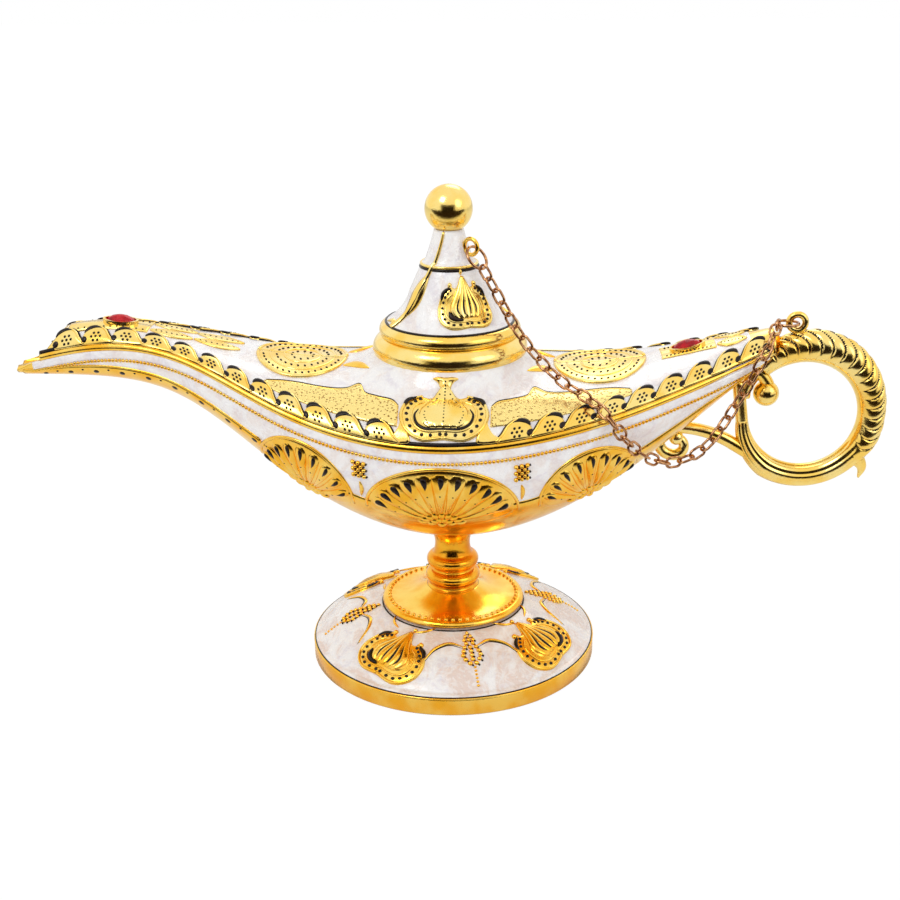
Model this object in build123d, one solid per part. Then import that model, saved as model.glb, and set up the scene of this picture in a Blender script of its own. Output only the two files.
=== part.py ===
from build123d import *
import os
import numpy as np
from math import cos, pi, radians, sin

# Genie oil lamp. Millimetres, +Z up, origin on the floor under the stem, spout along -X and handle along +X.

# Foot, skirt collar and stem
FOOT_RADIUS = 35.7
FOOT_RIM_HEIGHT = 3.4
FOOT_RIM_WIDTH = 1.6
FOOT_DOME_SWELL = 2.6
FOOT_LAND_HEIGHT = 13.2
FOOT_LAND_RADIUS = 15.6
FOOT_WALL = 1.8
SKIRT_SEAT_INSET = 1.0
SKIRT_RADIUS = 17.9
SKIRT_HEIGHT = 4.3
SKIRT_LIP = 1.3
SKIRT_LIFT = 0.4
SKIRT_SAG = 0.7
STEM_BASE_RADIUS = 6.6
STEM_RING_RADIUS = 6.8
STEM_UPPER_RING_RADIUS = 6.5
STEM_GROOVE_RADIUS = 5.0
STEM_NECK_RADIUS = 4.4
STEM_TOP_RADIUS = 6.2
STEM_COVE_DEPTH = 0.7
STEM_COVE_HEIGHT = 1.6
STEM_RING_HEIGHT = 2.4
STEM_GROOVE_LOW = 4.2
STEM_GROOVE_HIGH = 5.2
STEM_UPPER_RING_HEIGHT = 7.0
STEM_NECK_HEIGHT = 8.6
STEM_WAIST_HEIGHT = 10.8
STEM_HEIGHT = 16.0

# Tie bolt through foot, skirt, stem and bowl
BOLT_RADIUS = 2.0
BOLT_CLEARANCE = 0.2
BOLT_HEAD_RADIUS = 3.5
BOLT_HEAD_HEIGHT = 2.6
BOLT_TIP_LENGTH = 1.2
WASHER_RADIUS = 4.5
WASHER_THICKNESS = 1.0
NUT_ACROSS_FLATS = 7.0
NUT_HEIGHT = 3.2
THREAD_CLEARANCE = 0.05

# Hull: the bowl below the rim and the deck above it
SPOUT_REACH = 105.0
TAIL_REACH = 76.0
BELLY_HALF_WIDTH = 32.3
BOWL_DEPTH = 30.6
DECK_HEIGHT = 12.0
SHEER_HEIGHT = 15.2
HULL_WALL = 1.6
SEAM_GAP = 0.05
TAIL_BLOCK = 9.0
NECK_STAND = 3.1
NECK_SPREAD = 9.5
NECK_DROP = 6.5
BOWL_SEAT_DROP = 0.4
BOWL_SEAT_RADIUS = 6.6
NUT_PAD_RADIUS = 5.2
NUT_PAD_HEIGHT = 0.8
LIP_LENGTH = 6.0
LIP_DROP = 4.3
DECK_END_SLANT = 6.5

# Lines of the hull from spout to tail. Each station has its share of the reach, of the belly's half width,
# of the sheer (how far the rim climbs), of the deck's rise above the rim and of the bowl's depth below it.
HULL_STATIONS = [
    (-1.00, 0.11, 0.70, 0.45, 0.075),
    (-0.84, 0.20, 1.00, 0.46, 0.23),
    (-0.61, 0.36, 0.98, 0.26, 0.39),
    (-0.38, 0.67, 0.40, 0.58, 0.68),
    (0.00, 1.00, 0.00, 1.00, 1.00),
    (0.53, 0.69, 0.33, 0.57, 0.67),
    (0.84, 0.35, 0.76, 0.46, 0.25),
    (1.00, 0.165, 1.01, 0.39, 0.013),
]

# Raised ornament on the hull: scalloped borders, bulbs and medallions on the deck, shell fans on the bowl
RELIEF_HEIGHT = 0.55
BORDER_PITCH = 7.55
BORDER_FOOT = 0.8
BORDER_NOTCH = 1.8
BORDER_HEIGHT = 4.4
BORDER_START = -94.0
BORDER_CHAIN_SIDE_LENGTH = 124.0
BORDER_LENGTH = 160.0
BULB_HALF_WIDTH = 8.8
BULB_LENGTH = 12.2
BULB_TIP_REACH = 19.0
MEDALLION_REACH = 36.0
MEDALLION_HALF_LENGTH = 12.4
MEDALLION_HALF_WIDTH = 10.0
MEDALLION_BAND = 3.6
FAN_RIBS = 11
FAN_TOP_DROP = 4.2
FAN_HALF_WIDTH = 17.2
FAN_HEIGHT = 12.2
FAN_FOOT = 7.5
SIDE_FAN_RIBS = 9
SIDE_FAN_REACH = 33.0
SIDE_FAN_HALF_WIDTH = 11.2
SIDE_FAN_HEIGHT = 11.4
SIDE_FAN_FOOT = 4.0

# Mouth collar
MOUTH_RADIUS = 15.0
COLLAR_SPIGOT_CLEARANCE = 0.1
COLLAR_BORE_RADIUS = 13.5
COLLAR_RADIUS = 18.4
COLLAR_TOP_RADIUS = 16.6
COLLAR_FOOT_RADIUS = 17.2
COLLAR_HEIGHT = 5.6
NECK_LAND = 0.4
COLLAR_SWELL_DROP = 2.6
COLLAR_SPIGOT_DEPTH = 8.0
COLLAR_STAND = 3.6

# Lid, knob and lid eye
LID_RADIUS = 16.8
LID_BEAD_HEIGHT = 3.0
LID_SHOULDER_RADIUS = 15.4
LID_WAIST_RADIUS = 9.4
LID_WAIST_HEIGHT = 10.6
LID_LEDGE_RADIUS = 6.4
LID_LEDGE_HEIGHT = 17.2
LID_TOP_RADIUS = 3.5
LID_HEIGHT = 24.8
LID_WALL = 1.3
LID_PLUG_DEPTH = 4.5
LID_PLUG_CLEARANCE = 0.35
LID_CAVITY_TOP_RADIUS = 3.0
KNOB_RADIUS = 5.6
KNOB_SINK = 0.9
KNOB_STUD_RADIUS = 1.6
KNOB_STUD_LENGTH = 4.0
STUD_CLEARANCE = 0.05
LID_EYE_HEIGHT = 21.3
LID_EYE_REACH = 6.4
LID_EYE_RADIUS = 1.85
LID_EYE_WIRE = 0.5
LID_EYE_TURN = -35.0

# Handle: a loop round a finger hole, a scroll bracket, a ball terminal and a spike
LOOP_STANDOFF = 8.3
LOOP_DROP = 1.0
FINGER_HOLE_RADIUS = 12.9
ARM_ROOT_RADIUS = 2.9
ARM_CROWN_RADIUS = 3.9
ARM_SIDE_RADIUS = 3.2
BAND_RADIUS = 2.85
LIMB_RADIUS = 1.5
LIMB_LENGTH = 10.0
ARM_ANGLES = (132, 112, 84, 56, 28, 0, -22)
BAND_ANGLES = (-46, -70, -96, -122, -148, -172)
SCROLL_RADIUS = 1.5
SCROLL_ANGLE = 221.0
SCROLL_LEAN = 31.0
SCROLL_LEAD = 6.0
SCROLL_SWEEP_RADIUS = 26.0
SCROLL_TURN_RADIUS = 3.55
SCROLL_TURN = 190.0
SCROLL_EYE_RADIUS = 2.2
SCROLL_EYE_TURN = 160.0
SCROLL_BUD_RADIUS = 1.8
SPIKE_ANGLE = -38.0
SPIKE_SLANT = 18.0
SPIKE_LENGTH = 7.0
SPIKE_RADIUS = 1.7
SPIKE_TIP_RADIUS = 0.25
TERMINAL_RADIUS = 3.1
TERMINAL_NECK_RADIUS = 1.5
TERMINAL_REACH = 9.0
TERMINAL_HEIGHT = 5.0
TERMINAL_ROOT_HEIGHT = 7.5
TERMINAL_ARCH = 2.3
HANDLE_EYE_RADIUS = 1.9
HANDLE_EYE_WIRE = 0.8
HANDLE_EYE_ANGLE = 98.0
HANDLE_EYE_LIFT = 1.9
HANDLE_EYE_STEM_RADIUS = 1.0
HANDLE_EYE_STEM_DEPTH = 2.0

# Stones and bezels on the deck's centre line
SPOUT_STONE_SHARE = 0.755
TAIL_STONE_SHARE = 0.74
STONE_LENGTH = 7.4
STONE_WIDTH = 4.6
STONE_HEIGHT = 1.9
STONE_TAPER = 38.0
BEZEL_WALL = 0.6
BEZEL_HEIGHT = 0.9
STONE_CLEARANCE = 0.05

# Chain
WIRE_RADIUS = 0.31
WIRE_SIDES = 6
LINK_BEND_FLATS = 4
RING_FLATS = 20
LINK_HALF_WIDTH = 1.19
LINK_CLEARANCE = 0.12
LINK_PITCH = 3.1
RING_RADIUS = 2.6
LID_RING_RADIUS = 2.9
RING_WIRE_RADIUS = 0.35
HANDLE_RING_TURN = 200.0
CHAIN_SEGMENTS = 9

# The chain's route, chosen by hand: over the tail's shoulder, a slack loop below the rim, then up to the lid.
CHAIN_ROUTE = [
    (75.2, -6.3, 85.6),
    (73.8, -8.7, 82.4),
    (72.0, -9.7, 79.0),
    (69.2, -10.6, 73.6),
    (66.6, -11.5, 69.3),
    (63.2, -13.5, 64.3),
    (58.8, -16.0, 59.8),
    (51.8, -18.5, 57.5),
    (46.5, -21.5, 59.6),
    (41.6, -24.6, 64.0),
    (38.6, -26.6, 68.3),
    (36.4, -26.4, 71.2),
    (33.2, -23.3, 73.6),
    (28.0, -19.6, 75.9),
    (21.8, -15.3, 80.3),
    (16.6, -11.6, 86.0),
    (12.0, -8.4, 93.4),
]

# Heights that follow from the sizes above
SKIRT_TOP = FOOT_LAND_HEIGHT + SKIRT_HEIGHT
STEM_TOP = SKIRT_TOP + STEM_HEIGHT
KEEL = STEM_TOP + BOWL_SEAT_DROP
RIM = KEEL + BOWL_DEPTH
NUT_SEAT = KEEL + HULL_WALL + NUT_PAD_HEIGHT
NECK_TOP = RIM + DECK_HEIGHT + NECK_STAND
LID_SEAT = NECK_TOP + COLLAR_STAND


def revolved(*outline):
    """A turned piece from a closed outline of edges in the XZ plane."""
    return revolve(make_face(outline), axis=Axis.Z)


def polyline(*points):
    """Straight edges in the XZ plane through (radius, height) points."""
    return Polyline(*[(r, 0, z) for r, z in points])


def arc(start, middle, end):
    """An arc in the XZ plane through three (radius, height) points."""
    return ThreePointArc((start[0], 0, start[1]), (middle[0], 0, middle[1]), (end[0], 0, end[1]))


def upright(radius, low, high):
    """A cylinder on the lamp's axis between two heights."""
    return Pos(0, 0, (low + high) / 2) * Cylinder(radius, high - low)


def middle_of(a, b, bulge=0.0):
    """The point halfway from a to b, pushed out along +radius and +height by bulge."""
    return ((a[0] + b[0]) / 2 + bulge, (a[1] + b[1]) / 2 + bulge)


# Foot dish, skirt collar, stem and their bolt

bolt_hole = BOLT_RADIUS + BOLT_CLEARANCE


def make_foot_dish():
    edge = (FOOT_RADIUS, FOOT_RIM_HEIGHT)
    shoulder = (FOOT_RADIUS - FOOT_RIM_WIDTH, FOOT_RIM_HEIGHT + FOOT_RIM_WIDTH)
    land = (FOOT_LAND_RADIUS, FOOT_LAND_HEIGHT)
    inner_rim = FOOT_RADIUS - FOOT_WALL
    under_shoulder = (shoulder[0] - FOOT_WALL, shoulder[1] - FOOT_WALL)
    under_land = (land[0] - FOOT_WALL, land[1] - FOOT_WALL)
    return revolved(
        polyline((inner_rim, 0), (FOOT_RADIUS, 0), edge),
        arc(edge, middle_of(edge, shoulder, FOOT_RIM_WIDTH * 0.2), shoulder),
        arc(shoulder, middle_of(shoulder, land, FOOT_DOME_SWELL / 2), land),
        polyline(land, (bolt_hole, land[1]), (bolt_hole, under_land[1]), under_land),
        arc(under_land, middle_of(under_land, under_shoulder, FOOT_DOME_SWELL / 2), under_shoulder),
        polyline(under_shoulder, (inner_rim, 0)),
    )


def make_skirt_collar():
    edge = FOOT_LAND_HEIGHT + SKIRT_LIFT
    seat = FOOT_LAND_RADIUS - SKIRT_SEAT_INSET
    lip = (SKIRT_RADIUS - SKIRT_LIP, edge + SKIRT_LIP)
    top = (STEM_BASE_RADIUS, SKIRT_TOP)
    return revolved(
        polyline((bolt_hole, FOOT_LAND_HEIGHT), (seat, FOOT_LAND_HEIGHT), (seat, edge), (SKIRT_RADIUS, edge)),
        arc((SKIRT_RADIUS, edge), middle_of((SKIRT_RADIUS, edge), lip, SKIRT_LIP * 0.2), lip),
        arc(lip, middle_of(lip, top, -SKIRT_SAG), top),
        polyline(top, (bolt_hole, SKIRT_TOP), (bolt_hole, FOOT_LAND_HEIGHT)),
    )


def make_stem():
    """A turned baluster: base, two rings with a groove between them, a waist and a flared top."""

    def at(radius, above_base):
        return (radius, SKIRT_TOP + above_base)

    base, top = at(STEM_BASE_RADIUS, 0), at(STEM_TOP_RADIUS, STEM_HEIGHT)
    cove = at(STEM_BASE_RADIUS - STEM_COVE_DEPTH, STEM_COVE_HEIGHT / 2)
    ring_foot = at(STEM_BASE_RADIUS - STEM_COVE_DEPTH / 3, STEM_COVE_HEIGHT)
    groove_low, groove_high = at(STEM_GROOVE_RADIUS, STEM_GROOVE_LOW), at(STEM_GROOVE_RADIUS, STEM_GROOVE_HIGH)
    neck = at(STEM_GROOVE_RADIUS, STEM_NECK_HEIGHT)
    return revolved(
        polyline((bolt_hole, base[1]), base),
        arc(base, cove, ring_foot),
        arc(ring_foot, at(STEM_RING_RADIUS, STEM_RING_HEIGHT), groove_low),
        polyline(groove_low, groove_high),
        arc(groove_high, at(STEM_UPPER_RING_RADIUS, STEM_UPPER_RING_HEIGHT), neck),
        arc(neck, at(STEM_NECK_RADIUS, STEM_WAIST_HEIGHT), top),
        polyline(top, (bolt_hole, top[1]), (bolt_hole, base[1])),
    )


under_foot = FOOT_LAND_HEIGHT - FOOT_WALL
head_top = under_foot - WASHER_THICKNESS


def make_stem_washer():
    return upright(WASHER_RADIUS, head_top, under_foot) - upright(bolt_hole, head_top, under_foot)


def make_stem_bolt():
    head = upright(BOLT_HEAD_RADIUS, head_top - BOLT_HEAD_HEIGHT, head_top)
    head = fillet(head.edges().sort_by(Axis.Z)[0], BOLT_HEAD_HEIGHT * 0.4)
    shank = upright(BOLT_RADIUS, head_top, NUT_SEAT + NUT_HEIGHT + BOLT_TIP_LENGTH)
    return head + shank


def make_stem_nut():
    hexagon = RegularPolygon(NUT_ACROSS_FLATS / 2, 6, major_radius=False)
    nut = Pos(0, 0, NUT_SEAT) * extrude(hexagon, NUT_HEIGHT)
    return nut - upright(BOLT_RADIUS + THREAD_CLEARANCE, NUT_SEAT, NUT_SEAT + NUT_HEIGHT)


# Hull

def station_x(share):
    return share * (SPOUT_REACH if share < 0 else TAIL_REACH)


station_places = np.array([station_x(s[0]) for s in HULL_STATIONS])


def hull_line(x, column):
    """One line of the hull at x: the natural cubic through that column of the stations."""
    values = np.array([s[column] for s in HULL_STATIONS])
    steps = np.diff(station_places)
    rates = np.diff(values) / steps
    system = np.eye(len(values))
    bends = np.zeros(len(values))
    for k in range(1, len(values) - 1):
        system[k, k - 1 : k + 2] = steps[k - 1], 2 * (steps[k - 1] + steps[k]), steps[k]
        bends[k] = 6 * (rates[k] - rates[k - 1])
    bends = np.linalg.solve(system, bends)
    i = int(np.clip(np.searchsorted(station_places, x) - 1, 0, len(steps) - 1))
    before, after = x - station_places[i], station_places[i + 1] - x
    cubic = (bends[i] * after**3 + bends[i + 1] * before**3) / (6 * steps[i])
    start = (values[i] / steps[i] - bends[i] * steps[i] / 6) * after
    end = (values[i + 1] / steps[i] - bends[i + 1] * steps[i] / 6) * before
    return float(cubic + start + end)


def rim_height(x):
    return RIM + SHEER_HEIGHT * hull_line(x, 2)


def crest_height(x):
    return rim_height(x) + DECK_HEIGHT * hull_line(x, 3)


def half_section(x, rise, inset, past_rim, at=None):
    """Half the hull cut across at x: a half ellipse that stands rise over the rim, or hangs under it.

    An inset section is smaller by a wall and runs past the rim, so that a shell cut with it is open there.
    """
    half_width = BELLY_HALF_WIDTH * hull_line(x, 1) - inset
    up = 1 if rise > 0 else -1
    curve = EllipticalCenterArc((0, 0), half_width, abs(rise) - inset, 0, arc_size=180 * up)
    foot = -up * past_rim
    if past_rim:
        base = Polyline((-half_width, 0), (-half_width, foot), (half_width, foot), (half_width, 0))
    else:
        base = Line((-half_width, 0), (half_width, 0))
    across = Plane((x if at is None else at, 0, rim_height(x)), x_dir=(0, 1, 0), z_dir=(1, 0, 0))
    return across * make_face([curve, base])


def deck_section(x, inset=0.0, at=None):
    return half_section(x, DECK_HEIGHT * hull_line(x, 3), inset, inset, at)


def bowl_section(x, inset=0.0, at=None):
    return Pos(0, 0, -SEAM_GAP) * half_section(x, -BOWL_DEPTH * hull_line(x, 4), inset, inset, at)


halfway = [(a + b) / 2 for a, b in zip(station_places, station_places[1:])]
section_places = sorted([*station_places, *halfway])
inner_end = TAIL_REACH - TAIL_BLOCK
inner_places = [x for x in section_places if x < inner_end - 1] + [inner_end]


def hull_outside(section):
    return loft([section(x) for x in section_places])


def hull_inside(section):
    """The hollow of one half, from beyond the lip to the solid block in the tail."""
    beyond = section(-SPOUT_REACH, HULL_WALL, at=-SPOUT_REACH - HULL_WALL)
    return loft([beyond] + [section(x, HULL_WALL) for x in inner_places])


def neck(inset):
    """The flare by which the deck rises to the mouth collar, filled in to the lamp's axis."""
    top = (COLLAR_FOOT_RADIUS + NECK_LAND - inset, NECK_TOP)
    low = (top[0] + NECK_SPREAD, NECK_TOP - NECK_DROP - inset)
    hollow = (top[0] + NECK_SPREAD * 0.35, NECK_TOP - NECK_DROP * 0.6 - inset)
    return revolved(
        arc(top, hollow, low),
        polyline(low, (0, low[1]), (0, top[1]), top),
    )


def spout_cut():
    """What is cut off the spout: the deck ends on a slant, and the bowl runs on below it as a pouring lip."""
    beyond = -SPOUT_REACH - 2 * HULL_WALL
    end_rim = LIP_LENGTH - SPOUT_REACH
    end_top = end_rim + DECK_END_SLANT
    ceiling = RIM + SHEER_HEIGHT + DECK_HEIGHT * 2
    slope = DECK_END_SLANT / (crest_height(end_top) - rim_height(end_rim))
    rim_point = (end_rim, 0, rim_height(end_rim))
    top_point = (end_top + slope * (ceiling - crest_height(end_top)), 0, ceiling)
    lip_point = (beyond, 0, rim_height(end_rim) - LIP_DROP)
    corner = (beyond, 0, ceiling)
    face = make_face(Polyline(rim_point, top_point, corner, lip_point, rim_point))
    return extrude(face, BELLY_HALF_WIDTH, both=True)


def raised(section_of):
    """One half of the hull, grown outwards by the height of the ornament."""
    return loft([section_of(x) for x in section_places])


def raised_deck_section(x):
    return half_section(x, DECK_HEIGHT * hull_line(x, 3), -RELIEF_HEIGHT, 0)


def raised_bowl_section(x):
    return half_section(x, -BOWL_DEPTH * hull_line(x, 4), -RELIEF_HEIGHT, 0)


def border(length):
    """A scalloped strip above the rim as seen from the side, one arch after another from the spout."""
    count = round(length / BORDER_PITCH)
    places = [BORDER_START + length * k / count for k in range(count + 1)]

    def over_rim(x, height):
        return (x, 0, rim_height(x) + min(height, 0.8 * DECK_HEIGHT * hull_line(x, 3)))

    arches = []
    for a, b in zip(places, places[1:]):
        crown = over_rim((a + b) / 2, BORDER_HEIGHT)
        arches.append(ThreePointArc(over_rim(a, BORDER_NOTCH), crown, over_rim(b, BORDER_NOTCH)))
    foot = Polyline(
        over_rim(places[0], BORDER_NOTCH),
        *[over_rim(x, BORDER_FOOT) for x in places],
        over_rim(places[-1], BORDER_NOTCH),
    )
    return make_face([*arches, foot])


def bulb():
    """A pointed bulb as seen from above, between the front rim and the collar."""
    tip = (0, -BULB_TIP_REACH)
    low = (0, -BULB_TIP_REACH - BULB_LENGTH)
    side = (BULB_HALF_WIDTH, -BULB_TIP_REACH - BULB_LENGTH * 0.6)
    neck_point = (BULB_HALF_WIDTH * 0.3, -BULB_TIP_REACH - BULB_LENGTH * 0.15)
    half = [ThreePointArc(low, side, neck_point), Line(neck_point, tip), Line(tip, low)]
    right = make_face(half)
    return right + mirror(right, Plane.YZ)


def medallion(x):
    ring = Ellipse(MEDALLION_HALF_LENGTH, MEDALLION_HALF_WIDTH)
    ring -= Ellipse(MEDALLION_HALF_LENGTH - MEDALLION_BAND, MEDALLION_HALF_WIDTH - MEDALLION_BAND)
    return Pos(x, 0, 0) * ring


def fan(x, ribs, half_width, height, foot):
    """A shell fan as seen from the side: a scalloped arch over a foot that tapers to the keel."""
    top = rim_height(x) - FAN_TOP_DROP

    def spot(turn, share):
        return (x + half_width * share * cos(turn), 0, top - height + height * share * sin(turn))

    turns = [pi * k / ribs for k in range(ribs + 1)]
    lobes = [ThreePointArc(spot(a, 0.93), spot((a + b) / 2, 1), spot(b, 0.93)) for a, b in zip(turns, turns[1:])]
    under = (x, 0, top - height - foot)
    return make_face([*lobes, ThreePointArc(spot(pi, 0.93), under, spot(0, 0.93))])


def make_deck_relief():
    side_view = extrude(border(BORDER_CHAIN_SIDE_LENGTH), BELLY_HALF_WIDTH * 2, dir=(0, -1, 0))
    side_view += extrude(border(BORDER_LENGTH), BELLY_HALF_WIDTH * 2, dir=(0, 1, 0))
    front_bulb = bulb()
    plan = [front_bulb, mirror(front_bulb, Plane.XZ), medallion(-MEDALLION_REACH), medallion(MEDALLION_REACH)]
    above = [Pos(0, 0, RIM) * extrude(face, SHEER_HEIGHT + DECK_HEIGHT) for face in plan]
    body = raised(raised_deck_section) + neck(-RELIEF_HEIGHT)
    return [body & tool for tool in [side_view, *above]]


def make_bowl_relief():
    faces = [fan(0, FAN_RIBS, FAN_HALF_WIDTH, FAN_HEIGHT, FAN_FOOT)]
    for x in (-SIDE_FAN_REACH, SIDE_FAN_REACH):
        faces.append(fan(x, SIDE_FAN_RIBS, SIDE_FAN_HALF_WIDTH, SIDE_FAN_HEIGHT, SIDE_FAN_FOOT))
    body = raised(raised_bowl_section)
    return [body & extrude(face, BELLY_HALF_WIDTH * 2, dir=(0, 1, 0), both=True) for face in faces]


spout_opening = spout_cut()
mouth = upright(MOUTH_RADIUS, RIM, LID_SEAT + DECK_HEIGHT)
deck_outside = hull_outside(deck_section) + neck(0)
bowl_outside = hull_outside(bowl_section)


def make_deck():
    outside = deck_outside
    for ornament in make_deck_relief():
        outside += ornament
    return outside - hull_inside(deck_section) - neck(HULL_WALL) - mouth - spout_opening


def make_bowl():
    seat = upright(BOWL_SEAT_RADIUS, STEM_TOP, KEEL + HULL_WALL / 2)
    pad = upright(NUT_PAD_RADIUS, KEEL + HULL_WALL / 2, NUT_SEAT)
    outside = bowl_outside
    for ornament in make_bowl_relief():
        outside += ornament
    shell = outside - hull_inside(bowl_section) - spout_opening
    return shell + seat + pad - upright(bolt_hole, STEM_TOP, NUT_SEAT)


# Loops of wire

def bent_wire(corners, wire_radius):
    """A closed loop of six-sided wire through corners in the XY plane."""
    loop = Polyline(*corners, close=True)
    section = Plane(loop @ 0, z_dir=loop % 0) * RegularPolygon(wire_radius, WIRE_SIDES)
    return sweep(section, loop, transition=Transition.RIGHT)


def bent_ring(radius, wire_radius):
    """A ring bent in flats. It starts halfway along a flat, where the wire is closed."""
    turn = 2 * pi / RING_FLATS
    corners = [(radius * cos(k * turn), radius * sin(k * turn)) for k in range(RING_FLATS)]
    start = ((corners[0][0] + corners[-1][0]) / 2, (corners[0][1] + corners[-1][1]) / 2)
    return bent_wire([start, *corners], wire_radius)


# Mouth collar, lid, knob and lid eye

def make_mouth_collar():
    spigot = MOUTH_RADIUS - COLLAR_SPIGOT_CLEARANCE
    low = LID_SEAT - COLLAR_SPIGOT_DEPTH
    swell = LID_SEAT - COLLAR_SWELL_DROP
    foot = LID_SEAT - COLLAR_HEIGHT
    ring = revolved(
        polyline((COLLAR_BORE_RADIUS, LID_SEAT), (COLLAR_TOP_RADIUS, LID_SEAT)),
        arc((COLLAR_TOP_RADIUS, LID_SEAT), (COLLAR_RADIUS, swell), (COLLAR_FOOT_RADIUS, foot)),
        polyline((COLLAR_FOOT_RADIUS, foot), (spigot, foot), (spigot, low), (COLLAR_BORE_RADIUS, low)),
        polyline((COLLAR_BORE_RADIUS, low), (COLLAR_BORE_RADIUS, LID_SEAT)),
    )
    return ring - (deck_outside - mouth)


def make_lid_shell():
    def at(radius, above_seat):
        return (radius, LID_SEAT + above_seat)

    plug = COLLAR_BORE_RADIUS - LID_PLUG_CLEARANCE
    inner = plug - LID_WALL
    bead = at(LID_SHOULDER_RADIUS, LID_BEAD_HEIGHT)
    waist, ledge = at(LID_WAIST_RADIUS, LID_WAIST_HEIGHT), at(LID_LEDGE_RADIUS, LID_LEDGE_HEIGHT)
    neck, top = at(LID_LEDGE_RADIUS - 0.6, LID_LEDGE_HEIGHT + 0.3), at(LID_TOP_RADIUS, LID_HEIGHT)
    cavity_top = at(LID_CAVITY_TOP_RADIUS, LID_LEDGE_HEIGHT - LID_WALL)
    cavity_waist = at(LID_WAIST_RADIUS - LID_WALL * 1.3, LID_WAIST_HEIGHT - LID_WALL)
    cavity_low = at(inner, LID_BEAD_HEIGHT - LID_WALL)
    stud_hole = KNOB_STUD_RADIUS + STUD_CLEARANCE
    return revolved(
        polyline(at(plug, -LID_PLUG_DEPTH), at(plug, 0), at(LID_RADIUS - 0.4, 0)),
        arc(at(LID_RADIUS - 0.4, 0), at(LID_RADIUS, LID_BEAD_HEIGHT * 0.45), bead),
        arc(bead, (middle_of(bead, waist)[0] - 0.7, middle_of(bead, waist)[1] - 0.7), waist),
        polyline(waist, ledge, neck),
        arc(neck, middle_of(neck, top, -0.1), top),
        polyline(top, at(stud_hole, LID_HEIGHT), at(stud_hole, LID_HEIGHT - KNOB_STUD_LENGTH)),
        polyline(at(stud_hole, LID_HEIGHT - KNOB_STUD_LENGTH), at(0, LID_HEIGHT - KNOB_STUD_LENGTH)),
        polyline(at(0, LID_HEIGHT - KNOB_STUD_LENGTH), at(0, LID_LEDGE_HEIGHT - LID_WALL), cavity_top, cavity_waist),
        polyline(cavity_waist, cavity_low, at(inner, -LID_PLUG_DEPTH), at(plug, -LID_PLUG_DEPTH)),
    )


def make_lid_knob():
    top = LID_SEAT + LID_HEIGHT
    ball = Pos(0, 0, top + KNOB_RADIUS - KNOB_SINK) * Sphere(KNOB_RADIUS)
    ball -= upright(KNOB_RADIUS, top - KNOB_RADIUS, top)
    return ball + upright(KNOB_STUD_RADIUS, top - KNOB_STUD_LENGTH, top)


lid_eye_centre = Vector(
    LID_EYE_REACH * cos(radians(LID_EYE_TURN)),
    LID_EYE_REACH * sin(radians(LID_EYE_TURN)),
    LID_SEAT + LID_EYE_HEIGHT,
)


def make_lid_eye(lid):
    """A wire eye that stands on the lid's neck in a plane through the lamp's axis."""
    tangent = Vector(-sin(radians(LID_EYE_TURN)), cos(radians(LID_EYE_TURN)), 0)
    eye = Plane(lid_eye_centre, z_dir=tangent) * bent_ring(LID_EYE_RADIUS, LID_EYE_WIRE)
    return eye - lid


# Handle

loop_centre = (TAIL_REACH + LOOP_STANDOFF, RIM - LOOP_DROP)


def loop_point(angle, radius):
    return (loop_centre[0] + radius * cos(radians(angle)), loop_centre[1] + radius * sin(radians(angle)))


def loop_section(angle, radius):
    """A round section of the loop whose inner edge lies on the finger hole."""
    x, z = loop_point(angle, FINGER_HOLE_RADIUS + radius)
    along = Vector(-sin(radians(angle)), 0, cos(radians(angle)))
    return Plane((x, 0, z), x_dir=(0, 1, 0), z_dir=along) * Circle(radius)


def make_loop():
    """The leaf arm leaves the tail, swells over the crown and thins down the outside; the band runs on from it
    round the bottom and thins into the limb under the tail."""
    shoulder = (ARM_ROOT_RADIUS + ARM_CROWN_RADIUS) / 2
    flank = (ARM_CROWN_RADIUS + ARM_SIDE_RADIUS) / 2
    arm = [ARM_ROOT_RADIUS, shoulder, ARM_CROWN_RADIUS, ARM_CROWN_RADIUS, flank, ARM_SIDE_RADIUS, ARM_SIDE_RADIUS]
    band = [BAND_RADIUS] * 4 + [(BAND_RADIUS + LIMB_RADIUS) / 2, LIMB_RADIUS]
    loop = loft([loop_section(angle, radius) for angle, radius in zip(ARM_ANGLES + BAND_ANGLES, arm + band)])
    return loop + extrude(loop_section(BAND_ANGLES[-1], LIMB_RADIUS), -LIMB_LENGTH)


def make_scroll():
    """The bracket under the bowl: it leaves the band and curls into a volute."""
    start = Vector(*loop_point(SCROLL_ANGLE, FINGER_HOLE_RADIUS + BAND_RADIUS))
    heading = Vector(-cos(radians(SCROLL_LEAN)), sin(radians(SCROLL_LEAN)))
    lead = Line(start, start + heading * SCROLL_LEAD)
    sweep_up = JernArc(lead @ 1, heading, SCROLL_SWEEP_RADIUS, SCROLL_LEAN)
    turn = JernArc(sweep_up @ 1, sweep_up % 1, SCROLL_TURN_RADIUS, SCROLL_TURN)
    eye = JernArc(turn @ 1, turn % 1, SCROLL_EYE_RADIUS, SCROLL_EYE_TURN)
    path = Plane.XZ * (lead + sweep_up + turn + eye)
    section = Plane(path @ 0, z_dir=path % 0) * Circle(SCROLL_RADIUS)
    return sweep(section, path) + Pos(path @ 1) * Sphere(SCROLL_BUD_RADIUS)


def make_spike():
    """The leaf's tip, which stands off the loop as a thumb spike."""
    x, z = loop_point(SPIKE_ANGLE, FINGER_HOLE_RADIUS + BAND_RADIUS)
    down = Vector(sin(radians(SPIKE_SLANT)), 0, -cos(radians(SPIKE_SLANT)))
    place = Plane((x, 0, z) + down * SPIKE_LENGTH / 2, z_dir=down)
    return place * Cone(SPIKE_RADIUS, SPIKE_TIP_RADIUS, SPIKE_LENGTH)


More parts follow.
